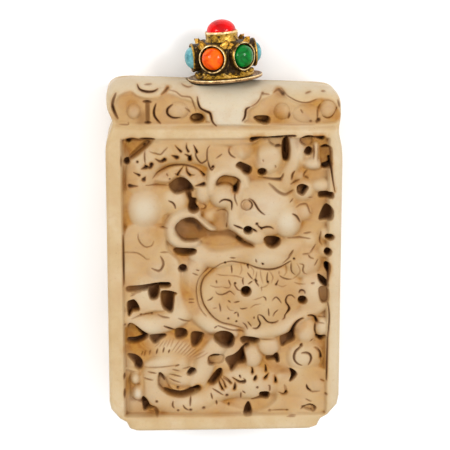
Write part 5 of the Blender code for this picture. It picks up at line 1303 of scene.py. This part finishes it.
def gilt_material(name, low, middle, high, patina):
    """Gilt metal in three shades, with a dark patina over the given share of it."""
    nodes = Nodes(name)
    blotch = nodes.noise(620, 5, 0.65, 0.8)
    fine = nodes.noise(2600, 4, 0.6)
    colour = nodes.ramp(blotch, (0.32, linear(*low)), (0.5, linear(*middle)), (0.68, linear(*high)))
    edge = 0.36 + 0.33 * patina
    worn = nodes.math("ADD", nodes.math("MULTIPLY", blotch, 0.75), nodes.math("MULTIPLY", fine, 0.25))
    share = nodes.range(worn, edge - 0.03, edge + 0.05)
    brown = nodes.ramp(fine, (0.35, linear(22, 15, 6)), (0.65, linear(72, 50, 18)))
    colour = nodes.mixed(share, brown, colour)
    nodes.link(colour, nodes.shader.inputs["Base Color"])
    nodes.link(nodes.range(share, 0, 1, 0.1, 0.55), nodes.shader.inputs["Metallic"])
    roughness = nodes.math("SUBTRACT", nodes.range(fine, 0.3, 0.7, 0.36, 0.5),
                           nodes.math("MULTIPLY", share, 0.14))
    nodes.link(roughness, nodes.shader.inputs["Roughness"])
    nodes.shader.inputs["Specular IOR Level"].default_value = 0.12
    nodes.bump(nodes.math("ADD", fine, nodes.math("MULTIPLY", share, 0.6)), 0.5, 0.00015)
    return nodes.material


def cabochon_material(name, main, light, dark, scale, roughness):
    nodes = Nodes(name)
    cloud = nodes.noise(scale, 5, 0.6, 1.0)
    colour = nodes.ramp(cloud, (0.34, linear(*dark)), (0.5, linear(*main)), (0.7, linear(*light)))
    nodes.link(colour, nodes.shader.inputs["Base Color"])
    nodes.link(nodes.range(cloud, 0.2, 0.8, roughness, roughness + 0.06), nodes.shader.inputs["Roughness"])
    nodes.shader.inputs["Specular IOR Level"].default_value = 0.22
    nodes.bump(nodes.noise(1800, 4, 0.6), 0.05, 0.00005)
    return nodes.material


def floor_material():
    nodes = Nodes("pale_floor")
    colour = nodes.ramp(nodes.noise(30, 3, 0.5), (0.3, linear(250, 250, 251)), (0.7, linear(254, 254, 255)))
    nodes.link(colour, nodes.shader.inputs["Base Color"])
    nodes.set(Roughness=0.9)
    return nodes.material


# Cap

# The finishes in the order of GILT_SHADES
BRIGHT, MIXED, DARK, LEAF, LIP = range(5)
LEAF_WIDTH = 3.1 * MM
LEAF_RISE = 0.55 * MM
LEAF_REACH = BARREL_RADIUS + 0.35 * MM
LEAF_FLARE = 0.25 * MM
LEAF_THICKNESS = 0.4 * MM
LEAF_RIDGE = 0.12 * MM
LEAF_BELLY = 0.5 * MM
LEAF_CURL = 0.35 * MM
LUMP_COUNT = 26
LUMP_RADII = 0.26, 0.42
ROUND_STEPS = 96
SMALL_ROUND_STEPS = 64


def cap_matrix():
    """The cap's own axis is +Z; its -Y faces the viewer of the carved side."""
    base = Vector((CAP_OFFSET, PLAQUE_LENGTH / 2 - SEAT_DEPTH + FIT_GAP, PLAQUE_THICKNESS / 2))
    upright = Matrix(((1, 0, 0), (0, 0, 1), (0, -1, 0))).to_4x4()
    return Matrix.Translation(base) @ Matrix.Rotation(CAP_LEAN, 4, "Z") @ upright


def belt_matrix(index, radius):
    """Places a shape whose own axis is +Z on the belt, pointing outwards."""
    angle = CABOCHON_FIRST_ANGLE + index * 2 * math.pi / CABOCHON_COUNT
    outward = Vector((math.sin(angle), -math.cos(angle), 0))
    turn = outward.to_track_quat("Z", "Y").to_matrix().to_4x4()
    return Matrix.Translation(outward * radius + Vector((0, 0, BELT_HEIGHT))) @ turn


def add_turned(shape, profile, steps, matrix=Matrix.Identity(4), wobble=0.0):
    """Adds a closed turned shell of (radius, height, finish) points; each finish covers the next step."""
    rings = []
    for i in range(steps):
        angle = 2 * math.pi * i / steps
        grow = 1 + wobble * (math.sin(3 * angle + 1.3) + 0.6 * math.sin(7 * angle))
        ring = []
        for radius, height, _ in profile:
            place = Vector((radius * grow * math.cos(angle), radius * grow * math.sin(angle), height))
            ring.append(shape.verts.new(matrix @ place))
        rings.append(ring)
    for here, there in zip(rings, rings[1:] + rings[:1]):
        for j, (_, _, finish) in enumerate(profile):
            k = (j + 1) % len(profile)
            face = shape.faces.new((here[j], here[k], there[k], there[j]))
            face.material_index = finish
            face.smooth = True


def finished(points, finishes=None):
    """The points of a profile with their finishes, or with the first finish throughout."""
    return [(radius, height, finish)
            for (radius, height), finish in zip(points, finishes or [0] * len(points))]


def close_poles(shape):
    bmesh.ops.remove_doubles(shape, verts=shape.verts, dist=0.000002)
    bmesh.ops.recalc_face_normals(shape, faces=shape.faces)


def metal_piece(name, shape, metals, place):
    close_poles(shape)
    piece = object_from(shape, name, *metals)
    piece.data.set_sharp_from_angle(angle=math.radians(50))
    piece.matrix_world = place
    return piece


def build_flange(metals, place):
    """The thin dish under the cap, with a worn bright lip and a dark inside."""
    rim, foot, wall = FLANGE_RADIUS, FLANGE_FOOT_RADIUS, FLANGE_WALL
    top = FLANGE_RISE + wall
    lip = BASE_RADIUS + FIT_GAP
    inner = [(0, wall), (lip * 0.97, wall), (lip, wall * 1.05), (lip * 1.06, wall * 1.3)]
    bead_turns = [math.radians(turn) for turn in range(150, -1, -30)]
    bead = [(rim - wall / 2 + wall / 2 * math.cos(turn), top - wall / 2 + wall / 2 * math.sin(turn))
            for turn in bead_turns]
    under_turns = [math.radians(7.5 * i) for i in range(1, 13)]
    under = [(foot + (rim - foot) * math.cos(turn), FLANGE_RISE * (1 - math.sin(turn)))
             for turn in under_turns]
    finishes = [LIP] * 7 + [BRIGHT] * 2 + [LIP] * 3 + [DARK] * 11
    profile = finished(inner + bead + under + [(0, 0)], finishes)
    shape = bmesh.new()
    add_turned(shape, profile, ROUND_STEPS, wobble=0.002)
    return metal_piece("flange_dish", shape, metals, place)


def build_cabochon(name, radius, dome, material, place):
    """A domed stone on a short girdle whose edge is eased."""
    girdle = CABOCHON_GIRDLE
    profile = [(0, girdle + dome)]
    profile += [(radius * math.sin(math.radians(a)), girdle + dome * math.cos(math.radians(a)))
                for a in range(6, 90, 6)]
    profile += [(radius, girdle), (radius, 0.1 * girdle), (0.96 * radius, 0), (0, 0)]
    shape = bmesh.new()
    add_turned(shape, finished(profile), SMALL_ROUND_STEPS)
    close_poles(shape)
    gem = object_from(shape, name, material)
    gem.matrix_world = place
    smooth(gem.data, 50)
    return gem


def add_leaf(shape, angle, low, high):
    """A tall pointed leaf between two bezels, ridged down its middle, its tip bent outwards."""
    outward = Vector((math.sin(angle), -math.cos(angle), 0))
    across = Vector((math.cos(angle), math.sin(angle), 0))
    rows, columns = 15, 9
    grids = []
    for thickness in (0.0, LEAF_THICKNESS):
        grid = []
        for i in range(rows):
            t = i / (rows - 1)
            half = LEAF_WIDTH / 2 * min(1.0, 0.55 + 1.2 * t) * min(1.0, max((1 - t) / 0.22, 0.08))
            line = []
            for j in range(columns):
                u = j / (columns - 1) * 2 - 1
                ridge = LEAF_RIDGE * max(0, 1 - 4 * abs(u))
                hollow = LEAF_BELLY * (1 - math.sin(math.pi * min(t + 0.25, 1))) * (1 - t)
                bow = LEAF_REACH + LEAF_FLARE * t ** 4 - hollow
                radius = bow - LEAF_CURL * u * u + ridge - thickness
                rise = Vector((0, 0, low + (high - low) * t))
                line.append(shape.verts.new(outward * radius + across * (u * half) + rise))
            grid.append(line)
        grids.append(grid)
    front, back = grids
    for i in range(rows - 1):
        for j in range(columns - 1):
            shape.faces.new((front[i][j], front[i][j + 1], front[i + 1][j + 1], front[i + 1][j]))
            shape.faces.new((back[i + 1][j], back[i + 1][j + 1], back[i][j + 1], back[i][j]))
    edge = [(0, j) for j in range(columns)] + [(i, columns - 1) for i in range(1, rows)]
    edge += [(rows - 1, j) for j in range(columns - 2, -1, -1)] + [(i, 0) for i in range(rows - 2, 0, -1)]
    for (a, b), (c, d) in zip(edge, edge[1:] + edge[:1]):
        shape.faces.new((front[c][d], front[a][b], back[a][b], back[c][d]))


def cap_profile(start, belt_low, belt_high):
    """Pocket of the top stone, collar, barrel and base ring as one closed outline."""
    pocket = TOP_CABOCHON_RADIUS + 0.08 * MM
    pocket_floor = COLLAR_TOP - CABOCHON_GIRDLE - FIT_GAP
    return [(0, pocket_floor, DARK), (pocket, pocket_floor, DARK),
            (pocket, COLLAR_TOP - 0.08 * MM, BRIGHT), (pocket + 0.06 * MM, COLLAR_TOP, BRIGHT),
            (COLLAR_RADIUS - 0.08 * MM, COLLAR_TOP, BRIGHT),
            (COLLAR_RADIUS, COLLAR_TOP - 0.12 * MM, BRIGHT),
            (COLLAR_RADIUS - 0.04 * MM, COLLAR_TOP - 0.35 * MM, MIXED),
            (COLLAR_RADIUS - 0.08 * MM, COLLAR_START + 0.45 * MM, MIXED),
            (COLLAR_RADIUS + 0.02 * MM, COLLAR_START + 0.2 * MM, MIXED),
            (COLLAR_RADIUS + 0.05 * MM, COLLAR_START, DARK),
            (BARREL_RADIUS - 0.8 * MM, belt_high - 0.3 * MM, MIXED),
            (BARREL_RADIUS - 0.15 * MM, belt_high - 0.9 * MM, DARK),
            (BARREL_RADIUS, belt_high - 1.6 * MM, DARK), (BARREL_RADIUS, belt_low + 0.9 * MM, DARK),
            (BARREL_RADIUS + 0.1 * MM, belt_low + 0.2 * MM, DARK),
            (BASE_RADIUS - 0.25 * MM, start + BASE_HEIGHT * 0.6, MIXED),
            (BASE_RADIUS, start + BASE_HEIGHT * 0.35, MIXED), (BASE_RADIUS, start + 0.15 * MM, DARK),
            (BASE_RADIUS - 0.15 * MM, start, DARK), (0, start, DARK)]


def cup_profile(socket, bezel):
    """A bezel cup on its own axis, open at the top and rooted in the barrel."""
    floor = BEZEL_REACH - CABOCHON_GIRDLE - 2 * FIT_GAP
    root = BARREL_RADIUS * 0.6
    reach = BEZEL_REACH
    return [(0, floor, DARK), (socket - 0.1 * MM, floor, DARK), (socket, floor + 0.1 * MM, DARK),
            (socket, reach - 0.1 * MM, MIXED), (socket + 0.06 * MM, reach, BRIGHT),
            (bezel - 0.1 * MM, reach, MIXED), (bezel, reach - 0.12 * MM, MIXED),
            (bezel, reach - 0.3 * MM, DARK), (bezel - 0.1 * MM, reach - 0.6 * MM, DARK),
            (bezel - 0.1 * MM, root, DARK), (0, root, DARK)]


def add_lump(shape, turn, start):
    """One cast lump on the base ring, at the given share of a full turn."""
    angle = 2 * math.pi * (turn + random.uniform(-0.2, 0.2) / LUMP_COUNT)
    radius = random.uniform(*LUMP_RADII) * MM
    spot = Vector((math.cos(angle), math.sin(angle), 0)) * (BASE_RADIUS - 0.25 * MM)
    spot.z = start + BASE_HEIGHT * random.uniform(0.45, 0.75)
    bmesh.ops.create_icosphere(shape, subdivisions=2, radius=radius, matrix=Matrix.Translation(spot))


def build_cap(metals, place):
    """Turned body, six bezel cups, six leaves and the lumps round the foot, as one casting."""
    start = FLANGE_WALL + FIT_GAP
    socket = CABOCHON_RADIUS + FIT_GAP
    bezel = socket + BEZEL_WALL
    belt_low, belt_high = BELT_HEIGHT - bezel, BELT_HEIGHT + bezel
    shape = bmesh.new()
    add_turned(shape, cap_profile(start, belt_low, belt_high), ROUND_STEPS)
    for i in range(CABOCHON_COUNT):
        add_turned(shape, cup_profile(socket, bezel), SMALL_ROUND_STEPS, belt_matrix(i, 0), 0.006)
    first = len(shape.faces)
    for i in range(CABOCHON_COUNT):
        angle = CABOCHON_FIRST_ANGLE + (i + 0.5) * 2 * math.pi / CABOCHON_COUNT
        add_leaf(shape, angle, belt_low + 0.2 * MM, belt_high + LEAF_RISE)
    for i in range(LUMP_COUNT):
        add_lump(shape, i / LUMP_COUNT, start)
    shape.faces.ensure_lookup_table()
    for face in shape.faces[first:]:
        height = face.calc_center_median().z
        face.material_index = LEAF if height > belt_high - 0.9 * MM else MIXED if height < belt_low else DARK
        face.smooth = True
    return metal_piece("cap_casting", shape, metals, place)


# Assembly

def dress_stone():
    carving = carve()
    stone = new_object("carved_stone", stone_mesh(carving), soapstone_material())
    thinned(stone, carving, STONE_TRIANGLES)
    applied(stone)
    seat = seat_cutter()
    cut = stone.modifiers.new("Seat", "BOOLEAN")
    cut.operation = "DIFFERENCE"
    cut.solver = "EXACT"
    cut.object = seat
    mesh = applied(stone)
    bpy.data.objects.remove(seat, do_unlink=True)
    paint_stone(carving, mesh)
    smooth(mesh, 60)
    return stone


def seat_cutter():
    """The room that the flange needs in the stone's top."""
    foot, rim = FLANGE_FOOT_RADIUS + FIT_GAP, FLANGE_RADIUS + FIT_GAP
    quarter = [math.radians(90 - 10 * i) for i in range(10)]
    under = [(foot + (rim - foot) * math.sin(a), FLANGE_RISE * (1 - math.cos(a)) - FIT_GAP * math.cos(a))
             for a in quarter]
    profile = finished([(0, FLANGE_RADIUS), (rim, FLANGE_RADIUS)] + under + [(0, -FIT_GAP)])
    shape = bmesh.new()
    add_turned(shape, profile, ROUND_STEPS)
    close_poles(shape)
    cutter = object_from(shape, "seat_cutter")
    cutter.matrix_world = cap_matrix()
    return cutter


def dress():
    stone = dress_stone()
    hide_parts("stone_plaque")
    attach(stone, "root")
    place = cap_matrix()
    metals = [gilt_material(*shades) for shades in GILT_SHADES]
    flange = build_flange(metals, place)
    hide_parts("cap_flange")
    cap = build_cap(metals, place)
    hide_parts("cap_body")
    for metal in (flange, cap):
        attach(metal, "root")
    colours = {colour: cabochon_material(f"{colour}_cabochon", *shades)
               for colour, shades in CABOCHON_SHADES.items()}
    for i in range(CABOCHON_COUNT):
        colour = CABOCHON_COLOURS[i % len(CABOCHON_COLOURS)]
        node = f"cabochon_{colour}_{i // len(CABOCHON_COLOURS) + 1}"
        seat = BEZEL_REACH - CABOCHON_GIRDLE - FIT_GAP
        gem = build_cabochon(f"domed_{colour}_{i + 1}", CABOCHON_RADIUS, CABOCHON_DOME, colours[colour],
                             place @ belt_matrix(i, seat))
        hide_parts(node)
        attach(gem, "root")
    top = build_cabochon("domed_red", TOP_CABOCHON_RADIUS, TOP_CABOCHON_DOME, colours["red"],
                         place @ Matrix.Translation((0, 0, COLLAR_TOP - CABOCHON_GIRDLE)))
    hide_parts("cabochon_top_red")
    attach(top, "root")


# Stage

CAMERA_PLACE = Vector((-11.85, 68.19, 285.42)) * MM
CAMERA_AIM = Vector((0.07, 6.77, 14.0)) * MM
CAMERA_LENS = 125.06
FLOOR_SIZE = 3.0
SKY_LOW, SKY_HIGH = 0.42, 1.15
LIGHTS = (
    ("left_softbox", (-460, 200, 460), 190, 1.5),
    ("right_softbox", (400, 200, 480), 190, 1.8),
)


def add_light(name, place, size, power):
    data = bpy.data.lights.new(name, "AREA")
    data.size = size * MM
    data.energy = power
    light = new_object(name, data)
    light.location = Vector(place) * MM
    light.rotation_euler = (-light.location).to_track_quat("-Z", "Y").to_euler()


def build_floor():
    shape = bmesh.new()
    bmesh.ops.create_grid(shape, x_segments=1, y_segments=1, size=FLOOR_SIZE / 2,
                          matrix=Matrix.Translation((0, 0, -0.02 * MM)))
    object_from(shape, "floor", floor_material())


def build_sky():
    """A white sky that is brighter overhead than at the horizon."""
    world = bpy.data.worlds.new("studio")
    world.use_nodes = True
    bpy.context.scene.world = world
    tree = world.node_tree
    sky = tree.nodes["Background"]
    direction = tree.nodes.new("ShaderNodeTexCoord")
    split = tree.nodes.new("ShaderNodeSeparateXYZ")
    fade = tree.nodes.new("ShaderNodeMapRange")
    for key, value in (("From Min", 0.0), ("From Max", 0.9), ("To Min", SKY_LOW), ("To Max", SKY_HIGH)):
        fade.inputs[key].default_value = value
    tree.links.new(direction.outputs["Generated"], split.inputs["Vector"])
    tree.links.new(split.outputs["Z"], fade.inputs["Value"])
    tree.links.new(fade.outputs["Result"], sky.inputs["Strength"])
    sky.inputs["Color"].default_value = (1.0, 1.0, 1.0, 1.0)


def build_camera():
    data = bpy.data.cameras.new("camera")
    data.lens = CAMERA_LENS
    data.sensor_width = 36.0
    data.clip_start = 0.01
    camera = new_object("camera", data)
    ahead = (CAMERA_AIM - CAMERA_PLACE).normalized()
    upright = (Vector((0, 1, 0)) - ahead * ahead.y).normalized()
    turn = Matrix((ahead.cross(upright), upright, -ahead)).transposed()
    camera.matrix_world = Matrix.Translation(CAMERA_PLACE) @ turn.to_4x4()
    bpy.context.scene.camera = camera
    bpy.context.scene.view_settings.view_transform = "Standard"


dress()
build_floor()
for light in LIGHTS:
    add_light(*light)
build_sky()
build_camera()
bpy.context.view_layer.update()
